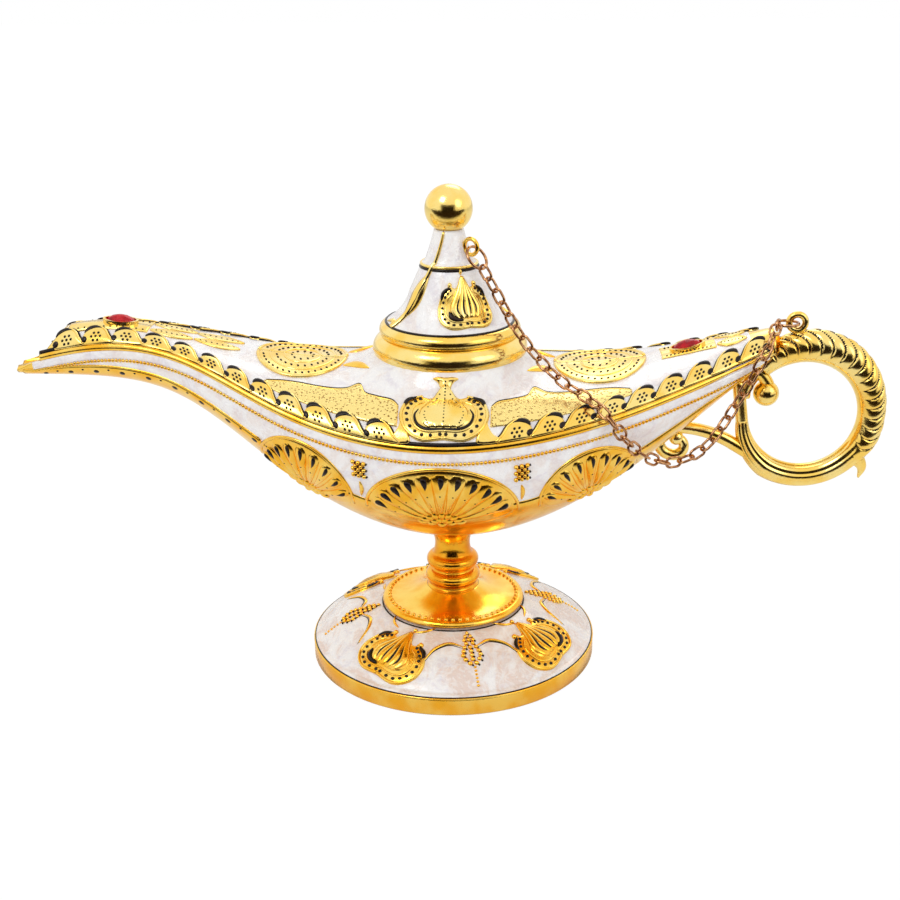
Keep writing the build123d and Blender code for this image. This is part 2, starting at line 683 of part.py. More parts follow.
def make_terminal():
    """The ball inside the loop, on a short neck from the limb."""
    ball = (loop_centre[0] - TERMINAL_REACH, loop_centre[1] + TERMINAL_HEIGHT)
    x, z = loop_point(180, FINGER_HOLE_RADIUS + LIMB_RADIUS)
    root = (x, z + TERMINAL_ROOT_HEIGHT)
    crown = ((x + ball[0]) / 2, max(root[1], ball[1]) + TERMINAL_ARCH)
    path = arc(root, crown, ball)
    section = Plane(path @ 0, z_dir=path % 0) * Circle(TERMINAL_NECK_RADIUS)
    return sweep(section, path) + Pos(ball[0], 0, ball[1]) * Sphere(TERMINAL_RADIUS)


eye_foot = loop_point(HANDLE_EYE_ANGLE, FINGER_HOLE_RADIUS + 2 * ARM_CROWN_RADIUS)
handle_eye_centre = Vector(eye_foot[0], 0, eye_foot[1] + HANDLE_EYE_LIFT)


def make_handle():
    handle = make_loop() + make_scroll() + make_spike() + make_terminal()
    handle = handle - deck_outside - bowl_outside
    socket = Pos(handle_eye_centre - Vector(0, 0, HANDLE_EYE_LIFT + HANDLE_EYE_STEM_DEPTH / 2))
    return handle - socket * Cylinder(HANDLE_EYE_STEM_RADIUS + STUD_CLEARANCE, HANDLE_EYE_STEM_DEPTH * 2)


def make_handle_eye(handle):
    """The chain's eye on the crown of the loop, with a stud let into the handle."""
    ring = Plane(handle_eye_centre, z_dir=(0, 1, 0)) * bent_ring(HANDLE_EYE_RADIUS, HANDLE_EYE_WIRE)
    height = HANDLE_EYE_LIFT - HANDLE_EYE_RADIUS + HANDLE_EYE_STEM_DEPTH
    stud = Pos(handle_eye_centre - Vector(0, 0, HANDLE_EYE_RADIUS + height / 2))
    return ring + stud * Cylinder(HANDLE_EYE_STEM_RADIUS, height) - handle


# Stones and bezels

def deck_plane(x):
    """A plane on the deck's crest at x, leaning with the crest."""
    step = 1.0
    lean = Vector(2 * step, 0, crest_height(x + step) - crest_height(x - step))
    return Plane((x, 0, crest_height(x)), x_dir=lean, z_dir=lean.cross(Vector(0, -1, 0)))


def make_bezel(x):
    rim = Ellipse(STONE_LENGTH / 2 + BEZEL_WALL, STONE_WIDTH / 2 + BEZEL_WALL)
    rim -= Ellipse(STONE_LENGTH / 2 + STONE_CLEARANCE, STONE_WIDTH / 2 + STONE_CLEARANCE)
    ring = extrude(rim, BEZEL_HEIGHT * 2)
    return deck_plane(x) * Pos(0, 0, -BEZEL_HEIGHT) * ring - deck_outside


def make_stone(x):
    """A faceted stone: an eight-sided girdle under a tapered crown."""
    sides = [
        (STONE_LENGTH / 2 * cos(radians(a)), STONE_WIDTH / 2 * sin(radians(a))) for a in range(0, 360, 45)
    ]
    girdle = make_face(Polyline(*sides, close=True))
    base = Pos(0, 0, -BEZEL_HEIGHT) * extrude(girdle, 2 * BEZEL_HEIGHT)
    crown = Pos(0, 0, BEZEL_HEIGHT) * extrude(girdle, STONE_HEIGHT - BEZEL_HEIGHT, taper=STONE_TAPER)
    return deck_plane(x) * (base + crown) - deck_outside


# Chain

def make_ring(centre, normal, radius):
    return Plane(centre, z_dir=normal) * bent_ring(radius, RING_WIRE_RADIUS)


overlap = WIRE_RADIUS + LINK_CLEARANCE / 2
ring_hook = WIRE_RADIUS + RING_WIRE_RADIUS + LINK_CLEARANCE - overlap


def make_link():
    """One link along X in the XY plane: a closed loop of wire, bent in flats round both ends."""
    straight = LINK_PITCH / 2 + overlap - LINK_HALF_WIDTH
    angles = [-90 + 180 * k / LINK_BEND_FLATS for k in range(LINK_BEND_FLATS + 1)]
    bend = [(straight + LINK_HALF_WIDTH * cos(radians(a)), LINK_HALF_WIDTH * sin(radians(a))) for a in angles]
    return bent_wire([(0, -LINK_HALF_WIDTH), *bend, *[(-x, -y) for x, y in bend]], WIRE_RADIUS)


handle_ring_way = Vector(cos(radians(HANDLE_RING_TURN)), sin(radians(HANDLE_RING_TURN)), 0)
handle_ring_centre = handle_eye_centre + handle_ring_way * RING_RADIUS
chain_start = handle_eye_centre + handle_ring_way * (2 * RING_RADIUS - ring_hook)
lid_ring_way = (Vector(*CHAIN_ROUTE[-1]) - lid_eye_centre).normalized()
lid_ring_centre = lid_eye_centre + lid_ring_way * LID_RING_RADIUS
chain_end = lid_eye_centre + lid_ring_way * (2 * LID_RING_RADIUS - ring_hook)
chain_line = Spline(chain_start, *CHAIN_ROUTE, chain_end)
link_count = round(chain_line.length / LINK_PITCH / 2) * 2 - 1


def link_joints():
    """Points along the route, one pitch apart, where each link hooks into the next."""
    pitch = chain_line.length / link_count
    return [chain_line.position_at(k * pitch, PositionMode.LENGTH) for k in range(link_count + 1)]


def across(a, b):
    """The level direction square to the run from a to b."""
    run = b - a
    return Vector(-run.Y, run.X, 0).normalized()


def place_link(link, a, b, flat):
    """A link from joint a to joint b, lying flat or standing upright."""
    run = (b - a).normalized()
    level = across(a, b)
    normal = run.cross(level) if flat else level
    return Plane((a + b) / 2, x_dir=run, z_dir=normal) * link


joints = link_joints()
link = make_link()
links = [place_link(link, a, b, k % 2 == 1) for k, (a, b) in enumerate(zip(joints, joints[1:]))]

# Write the pieces

lid_shell = make_lid_shell()
handle = make_handle()
pieces = {
    "foot_dish": make_foot_dish(),
    "skirt_collar": make_skirt_collar(),
    "stem": make_stem(),
    "stem_bolt": make_stem_bolt(),
    "stem_washer": make_stem_washer(),
    "stem_nut": make_stem_nut(),
    "bowl": make_bowl(),
    "deck": make_deck(),
    "mouth_collar": make_mouth_collar(),
    "handle": handle,
    "handle_eye": make_handle_eye(handle),
    "spout_bezel": make_bezel(-SPOUT_STONE_SHARE * SPOUT_REACH),
    "tail_bezel": make_bezel(TAIL_STONE_SHARE * TAIL_REACH),
    "spout_stone": make_stone(-SPOUT_STONE_SHARE * SPOUT_REACH),
    "tail_stone": make_stone(TAIL_STONE_SHARE * TAIL_REACH),
    "lid_shell": lid_shell,
    "lid_knob": make_lid_knob(),
    "lid_eye": make_lid_eye(lid_shell),
    "handle_ring": make_ring(handle_ring_centre, Vector(0, 0, 1), RING_RADIUS),
    "lid_ring": make_ring(lid_ring_centre, across(lid_eye_centre, chain_end).cross(lid_ring_way), LID_RING_RADIUS),
}
segment_ends = [round(k * link_count / CHAIN_SEGMENTS) for k in range(CHAIN_SEGMENTS + 1)]
for k, (first, last) in enumerate(zip(segment_ends, segment_ends[1:]), start=1):
    pieces[f"chain_{k}"] = Compound(links[first:last])

os.makedirs("parts", exist_ok=True)
for name, piece in pieces.items():
    export_step(piece, f"parts/{name}.step")
print(f"{len(pieces)} pieces, {link_count} links on a chain of {chain_line.length:.1f} mm")
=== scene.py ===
# %% [markdown]
# # Genie oil lamp
# A cast ornament lamp: a boat-shaped oil vessel of pearl enamel with raised gold ornament, on a turned stem
# and a round foot, with a loop handle, a conical lid and a keeper chain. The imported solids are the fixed
# frame. This lesson dresses them: smooth turned and lofted shells, relief that is modelled and not painted,
# and finishes made of nodes. All sizes below are millimetres, and they become metres when a mesh is made.

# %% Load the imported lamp
from math import cos, hypot, pi, radians, sin

import bmesh
import bpy
import numpy as np
from mathutils import Matrix, Vector


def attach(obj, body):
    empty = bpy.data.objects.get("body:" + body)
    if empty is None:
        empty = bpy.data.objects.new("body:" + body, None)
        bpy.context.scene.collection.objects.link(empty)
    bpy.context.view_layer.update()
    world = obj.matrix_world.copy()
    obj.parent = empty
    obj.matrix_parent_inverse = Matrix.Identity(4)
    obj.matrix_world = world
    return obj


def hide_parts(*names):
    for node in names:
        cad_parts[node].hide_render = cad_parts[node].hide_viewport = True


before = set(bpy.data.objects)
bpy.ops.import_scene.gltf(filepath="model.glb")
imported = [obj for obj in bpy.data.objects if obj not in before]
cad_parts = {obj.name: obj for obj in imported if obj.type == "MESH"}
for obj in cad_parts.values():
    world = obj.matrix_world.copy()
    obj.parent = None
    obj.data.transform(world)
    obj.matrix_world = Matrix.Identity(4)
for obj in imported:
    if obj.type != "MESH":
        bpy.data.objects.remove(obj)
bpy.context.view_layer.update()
MM = 0.001

# %% [markdown]
# ## Shader maths
# A finish could be wired by hand in the shader editor, but a formula is easier to read than a web of nodes.
# `Wire` wraps one socket, so that `1 - mask` adds a Math node, and `Nodes.node` adds any other node, with its
# settings first and its inputs after.

# %% Wires and finishes
OBJECT_COORDINATES = 3


class Wire:
    """A shader socket that takes part in Python arithmetic."""

    def __init__(self, owner, socket):
        self.owner, self.socket = owner, socket

    def maths(self, operation, first, second):
        return self.owner.node("ShaderNodeMath", {"operation": operation}, {0: first, 1: second})

    def __add__(self, other):
        return self.maths("ADD", self, other)

    def __sub__(self, other):
        return self.maths("SUBTRACT", self, other)

    def __rsub__(self, other):
        return self.maths("SUBTRACT", other, self)

    def __mul__(self, other):
        return self.maths("MULTIPLY", self, other)

    __radd__ = __add__
    __rmul__ = __mul__

    def step(self, low, high):
        """0 below low, 1 above high and a smooth ramp between."""
        settings = {"interpolation_type": "SMOOTHSTEP"}
        inputs = {"Value": self, "From Min": low, "From Max": high}
        return self.owner.node("ShaderNodeMapRange", settings, inputs)


class Nodes:
    """A node tree under construction."""

    def __init__(self, tree):
        self.tree = tree
        self.tree.nodes.clear()

    def node(self, kind, settings=None, inputs=None, output=0):
        made = self.tree.nodes.new(kind)
        for name, value in (settings or {}).items():
            setattr(made, name, value)
        for name, value in (inputs or {}).items():
            if isinstance(value, Wire):
                self.tree.links.new(value.socket, made.inputs[name])
            else:
                made.inputs[name].default_value = value
        return Wire(self, made.outputs[output]) if made.outputs else made

    def mix(self, factor, first, second):
        """A colour between two colours, by the colour sockets of a Mix node."""
        return self.node("ShaderNodeMix", {"data_type": "RGBA"}, {0: factor, 6: first, 7: second}, output=2)

    def place(self):
        """Object coordinates, which stay with the piece when it moves."""
        return self.node("ShaderNodeTexCoord", output=OBJECT_COORDINATES)

    def noise(self, per_metre, detail=3.0, stretch=None, swirl=0.0):
        where = self.place()
        if stretch:
            where = self.node("ShaderNodeMapping", None, {"Vector": where, "Scale": stretch})
        inputs = {"Vector": where, "Scale": per_metre, "Detail": detail, "Distortion": swirl}
        return self.node("ShaderNodeTexNoise", None, inputs)

    def cells(self, per_metre):
        return self.node("ShaderNodeTexVoronoi", None, {"Vector": self.place(), "Scale": per_metre})

    def bump(self, height, strength, depth):
        return self.node("ShaderNodeBump", None, {"Strength": strength, "Distance": depth, "Height": height})


def new_finish(name, build, **constants):
    """A Principled material: build(nodes) gives the inputs that vary, constants those that don't."""
    material = bpy.data.materials.new(name)
    material.use_nodes = True
    nodes = Nodes(material.node_tree)
    inputs = {key.replace("_", " "): value for key, value in constants.items()}
    inputs.update(build(nodes))
    shader = nodes.node("ShaderNodeBsdfPrincipled", None, inputs)
    nodes.node("ShaderNodeOutputMaterial", None, {"Surface": shader})
    return material


print("shader helpers: wires add, subtract, multiply and step")

# %% [markdown]
# ## Gold plate
# The metal is a thin polished plate over a casting. One flat gold would pass from afar, but close to, the
# tone of such plate drifts and its surface is a little uneven. So two golds are mixed by slow noise, and a
# faint bump of fine noise breaks up the reflections. One function gives the pale plate of deck and handle,
# the amber of bowl and foot, the deep amber of the stem and the duller wire of the chain. The ambers of bowl,
# foot and stem are partly painted shade: under the vessel gold mirrors gold, and that deeper, warmer light
# is put into their colour.

# %% Plated metals
LEMON_GOLD = (1.0, 0.66, 0.13, 1)
CHAMPAGNE = (1.0, 0.78, 0.28, 1)
AMBER_GOLD = (0.97, 0.50, 0.035, 1)
DEEP_AMBER = (0.86, 0.29, 0.012, 1)
ROSE_GOLD = (0.66, 0.36, 0.17, 1)
ROSE_DARK = (0.30, 0.12, 0.05, 1)
DRIFT_SCALE, WIRE_DRIFT_SCALE, POLISH_SCALE, GRAIN_SCALE = 160, 900, 520, 2600


def plated(first, second, drift_scale=DRIFT_SCALE):
    """Two golds that drift into each other under a polish with a fine grain."""
    def build(nodes):
        drift = nodes.noise(drift_scale).step(0.35, 0.68)
        grain = nodes.noise(GRAIN_SCALE, 2.0)
        return {
            "Base Color": nodes.mix(drift, first, second),
            "Roughness": 0.11 + 0.10 * nodes.noise(POLISH_SCALE),
            "Normal": nodes.bump(grain, 0.10, 0.0002),
        }

    return build


gold = new_finish("polished_gold", plated(LEMON_GOLD, CHAMPAGNE), Metallic=1.0)
# amber and deep amber: a plate tone, and partly painted shade of gold mirrored in gold under the vessel
amber = new_finish("amber_gold", plated(AMBER_GOLD, LEMON_GOLD), Metallic=1.0)
bronze = new_finish("deep_amber_gold", plated(DEEP_AMBER, AMBER_GOLD), Metallic=1.0)
rose = new_finish("rose_gold_wire", plated(ROSE_GOLD, ROSE_DARK, WIRE_DRIFT_SCALE), Metallic=1.0)
print("plated metals:", gold.name, amber.name, bronze.name, rose.name)

# %% [markdown]
# ## Stippled ground, and stained and shaded recesses
# Between the raised forms the gold is punched with tiny pits, and the recesses are stained almost black so
# that the pattern reads; the stain also paints the shade and dark reflections that fall in them. Thousands
# of real pits would cost far too many faces, so Voronoi cells darken the pits and a Bump node sinks them.
# The stain is a dark metal that is worn brown in places.

# %% Stipple, and stain with painted shade
PIT_BROWN = (0.42, 0.22, 0.05, 1)
STAIN_AND_SHADE_BROWN = (0.030, 0.012, 0.005, 1)
STAIN_AND_SHADE_BLACK = (0.008, 0.004, 0.003, 1)
PIT_SCALE, WEAR_SCALE = 1500, 700


def stippled(nodes):
    pits = nodes.cells(PIT_SCALE).step(0.12, 0.42)
    return {
        "Base Color": nodes.mix(pits, PIT_BROWN, CHAMPAGNE),
        "Roughness": 0.42 - 0.16 * pits,
        "Normal": nodes.bump(pits, 0.7, 0.0003),
    }


# The stain: dark antique in the recesses, and partly painted shade and dark reflection.
def stained_and_shaded(nodes):
    worn = nodes.noise(WEAR_SCALE).step(0.45, 0.8)
    return {"Base Color": nodes.mix(worn, STAIN_AND_SHADE_BLACK, STAIN_AND_SHADE_BROWN), "Roughness": 0.26 + 0.2 * worn}


stipple = new_finish("stippled_gold", stippled, Metallic=0.9)
stain_and_shade = new_finish("stained_recess", stained_and_shaded, Metallic=0.5)
print("ground and recess:", stipple.name, stain_and_shade.name)

# %% [markdown]
# ## Pearl enamel
# The white fields are pearl enamel: slow swirls of lilac, beige and silky white under a clear coat. An image
# would need unwrapping and would show its seams on a hull. Noise with a strong distortion swirls by itself
# and runs on over every edge. The foot's enamel is warmer, so the share of beige is left open.

# %% Enamel in two tones
PEARL = (0.96, 0.945, 0.94, 1)
LILAC = (0.79, 0.745, 0.80, 1)
BEIGE = (0.84, 0.68, 0.60, 1)
SILK = (0.99, 0.97, 0.96, 1)
SWIRL_SCALE, STREAK_SCALE, WARM_SCALE = 130, 340, 85
CLEAR_COAT = {"Coat_Weight": 0.5, "Coat_Roughness": 0.06}


def enamelled(blush):
    """Pearl enamel; blush is the share of warm beige in its swirls."""
    def build(nodes):
        swirl = nodes.noise(SWIRL_SCALE, 4.0, swirl=2.2)
        streak = nodes.noise(STREAK_SCALE, 3.0, swirl=3.0).step(0.44, 0.62)
        cloud = swirl.step(0.46, 0.66)
        warm = nodes.noise(WARM_SCALE, 3.0, stretch=(1.7, 1.0, 1.3), swirl=1.6).step(0.42, 0.62)
        colour = nodes.mix(cloud * 0.75, PEARL, LILAC)
        colour = nodes.mix(warm * blush, colour, BEIGE)
        return {
            "Base Color": nodes.mix(streak * 0.45, colour, SILK),
            "Roughness": 0.20 + 0.14 * swirl,
            "Normal": nodes.bump(swirl + 0.4 * streak, 0.22, 0.0009),
        }

    return build


enamel = new_finish("pearl_enamel", enamelled(0.45), **CLEAR_COAT)
blush_enamel = new_finish("blush_enamel", enamelled(0.9), **CLEAR_COAT)
print("enamels:", enamel.name, blush_enamel.name)

# %% [markdown]
# ## Red glass and bolt steel
# The stones are red glass. Clear glass would show the setting behind it and cost many light paths, and such
# small stones look deep red all through, so they are an opaque glossy red that varies in depth. The bolt set
# is plain steel, with the fine lines that turning leaves: noise squeezed along the axis.

# %% Glass and steel
RUBY = (0.60, 0.004, 0.012, 1)
RUBY_DEEP = (0.28, 0.0, 0.006, 1)
STEEL_DARK = (0.42, 0.42, 0.43, 1)
STEEL_BRIGHT = (0.62, 0.62, 0.63, 1)
DEPTH_SCALE, TURNING_SCALE, TURNING_SQUEEZE = 420, 900, 14


def ruby(nodes):
    depth = nodes.noise(DEPTH_SCALE).step(0.4, 0.7)
    return {"Base Color": nodes.mix(depth, RUBY, RUBY_DEEP), "Roughness": 0.16 + 0.12 * depth}


def turned_steel(nodes):
    lines = nodes.noise(TURNING_SCALE, 2.0, stretch=(1, 1, TURNING_SQUEEZE))
    return {"Base Color": nodes.mix(lines, STEEL_DARK, STEEL_BRIGHT), "Roughness": 0.3 + 0.2 * lines}


red_glass = new_finish("red_glass", ruby, Specular_IOR_Level=0.3)
steel = new_finish("bolt_steel", turned_steel, Metallic=1.0)
print("finishes:", len(bpy.data.materials))

# %% [markdown]
# ## Meshes
# Every piece is written straight into a mesh in the lamp's own frame, so its object stays at the origin, as
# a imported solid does. Operators could build the same shapes by hand, but points from a formula are exact and
# come out the same each time. `piece` merges doubles and turns the normals outwards, unless told otherwise.

# %% Making a piece
MERGE = 1e-7


def piece(name, points, faces, finishes, marks=None, tidy=True, smooth=True):
    mesh = bpy.data.meshes.new(name)
    mesh.from_pydata((np.asarray(points) * MM).tolist(), [], faces)
    for finish in finishes:
        mesh.materials.append(finish)
    if marks is not None:
        mesh.polygons.foreach_set("material_index", marks)
    if tidy:
        work = bmesh.new()
        work.from_mesh(mesh)
        bmesh.ops.remove_doubles(work, verts=work.verts, dist=MERGE)
        bmesh.ops.recalc_face_normals(work, faces=work.faces)
        work.to_mesh(mesh)
        work.free()
    mesh.polygons.foreach_set("use_smooth", [smooth] * len(mesh.polygons))
    made = bpy.data.objects.new(name, mesh)
    bpy.context.scene.collection.objects.link(made)
    return made


def dress(made, body, slot, *nodes):
    """Ties a piece to its body and hides the solids that it stands for; slot is not used."""
    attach(made, body)
    if nodes:
        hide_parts(*nodes)
    return made


# %% [markdown]
# ## Turned pieces
# Foot, skirt, stem, collar, lid and knob are round, as if turned on a lathe. The Screw modifier could spin
# their profiles, but here the rings are written at once, so that a zone function can pick the finish of each
# face. `bow` rounds a stretch of a profile by the arc through three points.


# %% Arcs and turned profiles
def bow(start, middle, end, count=10):
    """Points of the arc through three (radius, height) points."""
    (ax, ay), (bx, by), (cx, cy) = start, middle, end
    grid = 2 * np.array([[bx - ax, by - ay], [cx - ax, cy - ay]])
    centre = np.linalg.solve(grid, [bx**2 - ax**2 + by**2 - ay**2, cx**2 - ax**2 + cy**2 - ay**2])
    radius = hypot(ax - centre[0], ay - centre[1])
    turn = [np.arctan2(p[1] - centre[1], p[0] - centre[0]) for p in (start, middle, end)]
    turn = np.unwrap(turn)
    sweep = np.linspace(turn[0], turn[2], count)
    return [(centre[0] + radius * cos(t), centre[1] + radius * sin(t)) for t in sweep]


TURN_STEPS = 144


def turned_mesh(profile):
    """A profile turned round the axis; it is a closed line, or it starts and ends on the axis."""
    ring = np.array(profile, float)
    turns = np.linspace(0, 2 * pi, TURN_STEPS, endpoint=False)
    points = [[(r * cos(t), r * sin(t), z) for r, z in ring] for t in turns]
    count = len(ring)
    closed = ring[0][0] > 1e-6
    faces = []
    for k in range(TURN_STEPS):
        a, b = k * count, (k + 1) % TURN_STEPS * count
        faces += [(a + i, b + i, b + i + 1, a + i + 1) for i in range(count - 1)]
        if closed:
            faces.append((a + count - 1, b + count - 1, b, a))
    return np.array(points).reshape(-1, 3), faces


def turned(name, profile, finishes, zone=None):
    """A turned piece; zone(radius, height) picks the finish of each face."""
    points, faces = turned_mesh(profile)
    marks = None
    if zone:
        middles = [np.mean(points[list(f)], axis=0) for f in faces]
        marks = [zone(hypot(m[0], m[1]), m[2]) for m in middles]
    return piece(name, points, faces, finishes, marks, tidy=marks is None)


print("a turned piece has", TURN_STEPS, "steps round the axis")

# %% [markdown]
# ## Hull lines
# The vessel is two half ellipses at every station along its length, one over the rim and one under it. It
# could be shaped by hand with a subdivided box, but then the ornament would have to be pressed on to it. A
# natural cubic through a few stations gives the shells and carries the ornament from the same numbers.

# %% Stations along the vessel
SPOUT_REACH, TAIL_REACH = 105.0, 76.0
HALF_WIDTH, BOWL_DEPTH, DECK_RISE, SHEER_RISE, RIM = 32.3, 30.6, 12.0, 15.2, 64.5
WALL = 1.6
SEAM = 0.05
STATIONS = np.array([
    (-1.00, 0.11, 0.70, 0.45, 0.075),
    (-0.84, 0.20, 1.00, 0.46, 0.23),
    (-0.61, 0.36, 0.98, 0.26, 0.39),
    (-0.38, 0.67, 0.40, 0.58, 0.68),
    (0.00, 1.00, 0.00, 1.00, 1.00),
    (0.53, 0.69, 0.33, 0.57, 0.67),
    (0.84, 0.35, 0.76, 0.46, 0.25),
    (1.00, 0.165, 1.01, 0.39, 0.013),
])
PLACES = STATIONS[:, 0] * np.where(STATIONS[:, 0] < 0, SPOUT_REACH, TAIL_REACH)


def natural_bends(values):
    """Second derivatives of the natural cubic through values at PLACES."""
    steps = np.diff(PLACES)
    system = np.eye(len(PLACES))
    right = np.zeros_like(values)
    for k in range(1, len(PLACES) - 1):
        system[k, k - 1:k + 2] = steps[k - 1], 2 * (steps[k - 1] + steps[k]), steps[k]
        right[k] = 6 * ((values[k + 1] - values[k]) / steps[k] - (values[k] - values[k - 1]) / steps[k - 1])
    return np.linalg.solve(system, right)


LINES = STATIONS[:, 1:]
BENDS = natural_bends(LINES)


def hull_lines(x):
    """Half width, rim height, deck rise and bowl depth at each x."""
    x = np.asarray(x, float)
    i = np.clip(np.searchsorted(PLACES, x) - 1, 0, len(PLACES) - 2)
    step = (PLACES[i + 1] - PLACES[i])[..., None]
    before, after = (x - PLACES[i])[..., None], (PLACES[i + 1] - x)[..., None]
    line = (BENDS[i] * after**3 + BENDS[i + 1] * before**3) / (6 * step)
    line = line + (LINES[i] / step - BENDS[i] * step / 6) * after
    line = line + (LINES[i + 1] / step - BENDS[i + 1] * step / 6) * before
    half, sheer, rise, depth = np.moveaxis(line, -1, 0)
    return HALF_WIDTH * half, RIM + SHEER_RISE * sheer, DECK_RISE * rise, BOWL_DEPTH * depth


print("rim from %.1f to %.1f mm high" % (hull_lines(0.0)[1], hull_lines(-80.0)[1]))

# %% [markdown]
# ## Flare under the mouth
# Round the mouth the deck sweeps up to the collar. A turned flare joined by a Boolean would end in a step
# where the deck falls away at the front and back. So the flare is a height: at each point it goes a share of
# the way from the plain deck at its foot to the collar, and it runs out smoothly all round.

# %% The plain deck and its flare
NECK_TOP, NECK_FOOT, NECK_HOLLOW = (17.6, 79.6), (27.1, 73.1), (20.925, 75.7)
HALF_TURN = np.linspace(0, pi, 181)
BELOW_ALL = -1e3
neck_arc = np.array(bow(NECK_TOP, NECK_HOLLOW, NECK_FOOT, 40))


def hull_top(x, y):
    """Height of the plain deck over a point."""
    half, rim, rise, _ = hull_lines(x)
    return rim + rise * np.sqrt(np.clip(1 - (y / half) ** 2, 0, 1))


neck_feet = hull_top(NECK_FOOT[0] * np.cos(HALF_TURN), NECK_FOOT[0] * np.sin(HALF_TURN))


def neck_height(x, y):
    """Height of the flare, which ends on the plain deck."""
    radius = np.maximum(np.hypot(x, y), 1e-6)
    foot = np.interp(np.arccos(np.clip(x / radius, -1, 1)), HALF_TURN, neck_feet)
    climb = np.interp(radius, neck_arc[:, 0], neck_arc[:, 1])
    share = (climb - NECK_FOOT[1]) / (NECK_TOP[1] - NECK_FOOT[1])
    return np.where(radius > NECK_FOOT[0], BELOW_ALL, foot + share * (NECK_TOP[1] - foot))


print("flare from %.1f to %.1f mm high at its foot" % (neck_feet.min(), neck_feet.max()))

# %% [markdown]
# ## Deck and bowl as surfaces
# A surface here is a function: a place along the lamp and a turn from the front rim to the back rim give a
# point. Ornament is drawn in millimetres, though, and a turn isn't a length, so `along` measures each cross
# section and reads the same surface by the way from the rim. A UV map could do this for a picture, but not
# for relief that stands on the surface.


# %% Surfaces, and places on them by length
def deck_surface(x, turn):
    """turn runs from 0 at the front rim over the crest to pi at the back rim."""
    half, rim, rise, _ = hull_lines(x)
    y = -half * np.cos(turn)
    z = rim + rise * np.sin(turn)
    return np.stack([x + 0 * y, y, np.maximum(z, neck_height(x, y))], -1)


def bowl_surface(x, turn):
    """turn runs from 0 at the front rim round the keel to pi at the back rim."""
    half, rim, _, depth = hull_lines(x)
    return np.stack([x + 0 * turn, -half * np.cos(turn), rim - SEAM - depth * np.sin(turn)], -1)


def along(surface):
    """The same surface, read by x and by the way in mm from the front rim."""

    def read(x, way):
        x, way = np.broadcast_arrays(np.asarray(x, float), np.asarray(way, float))
        line = surface(x[:, None], HALF_TURN[None, :])
        run = np.linalg.norm(np.diff(line, axis=1), axis=2).cumsum(axis=1)
        run = np.concatenate([np.zeros((len(x), 1)), run], axis=1)
        k = np.clip((run < way[:, None]).sum(axis=1) - 1, 0, len(HALF_TURN) - 2)
        low = np.take_along_axis(run, k[:, None], 1)[:, 0]
        high = np.take_along_axis(run, k[:, None] + 1, 1)[:, 0]
        return surface(x, HALF_TURN[k] + (way - low) / (high - low) * (HALF_TURN[1] - HALF_TURN[0]))

    return read


deck_place, bowl_place = along(deck_surface), along(bowl_surface)
CREST_STEPS = 91


def crest_way(surface, x):
    """The way from the front rim to the middle line at x."""
    line = surface(np.full(CREST_STEPS, float(x)), np.linspace(0, pi / 2, CREST_STEPS))
    return float(np.linalg.norm(np.diff(line, axis=0), axis=1).sum())


def deck_crest(x):
    """The way from the rim to the crest."""
    return crest_way(deck_surface, x)


def keel_way(x):
    """The way from the rim to the keel."""
    return crest_way(bowl_surface, x)


print("amidships %.1f mm of deck and %.1f mm of bowl a side" % (deck_crest(0), keel_way(0)))

# %% [markdown]
# ## Deck and bowl
# Each half of the vessel is a thin casting. It could be a solid that is hollowed out, but one grid over its
# surface is easier to control: Solidify thickens it inwards, and a Boolean cuts the mouth. The deck ends on a
# slant above the spout, and the bowl runs on below it as the pouring lip.

# %% Helpers for the two shells
ALONG_STEPS, ROUND_STEPS = 240, 90


def sheet_faces(rows, columns):
    """Faces of a grid of points that are listed row by row."""
    faces = []
    for i in range(rows - 1):
        a, b = i * columns, (i + 1) * columns
        faces += [(a + k, b + k, b + k + 1, a + k + 1) for k in range(columns - 1)]
    return faces


def shell_grid(surface, front_end):
    """Grid points and outward faces from the spout's edge to a capped tail."""
    turns = np.linspace(0, pi, ROUND_STEPS)
    share = np.linspace(0, 1, ALONG_STEPS)[:, None]
    x = front_end(turns)[None, :] * (1 - share) + TAIL_REACH * share
    points = surface(x, np.broadcast_to(turns, x.shape)).reshape(-1, 3)
    last = (ALONG_STEPS - 1) * ROUND_STEPS
    cap = tuple(last + k for k in range(ROUND_STEPS))
    return points, sheet_faces(ALONG_STEPS, ROUND_STEPS) + [cap]


def baked(made):
    """The piece's mesh with its modifiers applied."""
    graph = bpy.context.evaluated_depsgraph_get()
    mesh = bpy.data.meshes.new_from_object(made.evaluated_get(graph))
    made.modifiers.clear()
    old, made.data = made.data, mesh
    mesh.name = made.name
    bpy.data.meshes.remove(old)
    return made


def walled(made, cutter=None):
    wall = made.modifiers.new("wall", "SOLIDIFY")
    wall.thickness = WALL * MM
    wall.offset = -1
    if cutter:
        cut = made.modifiers.new("mouth", "BOOLEAN")
        cut.operation, cut.solver, cut.object = "DIFFERENCE", "EXACT", cutter
    return baked(made)


def gilded(made, low, high, finish):
    """Gives the faces between two places along the lamp a second finish."""
    made.data.materials.append(finish)
    for face in made.data.polygons:
        if low < face.center.x / MM < high:
            face.material_index = len(made.data.materials) - 1


print("shell grid:", ALONG_STEPS, "by", ROUND_STEPS, "points")

# %% [markdown]
# ## The two shells
# Both shells start at the spout, where each has its own slanting edge: the deck's falls towards the rim, and
# the lip's falls from there to the tip. Cutting two finished shells with planes would leave ragged faces, so
# each column of the grid starts on the edge by itself. The ends are gilded by a second finish on their faces.

# %% Deck and bowl shells
DECK_END_TOP, DECK_END_RIM, LIP_DROP, LIP_RUN = 92.5, 99.0, 4.3, 9.2
TAIL_GILDING, SPOUT_GILDING, DECK_GILDING, PAST_ENDS = 70.5, -96.5, -92.0, 120.0
MOUTH_RADIUS, CUTTER_TOP = 15.0, 95.0


def deck_front(turns):
    return -DECK_END_RIM + (DECK_END_RIM - DECK_END_TOP) * np.sin(turns)


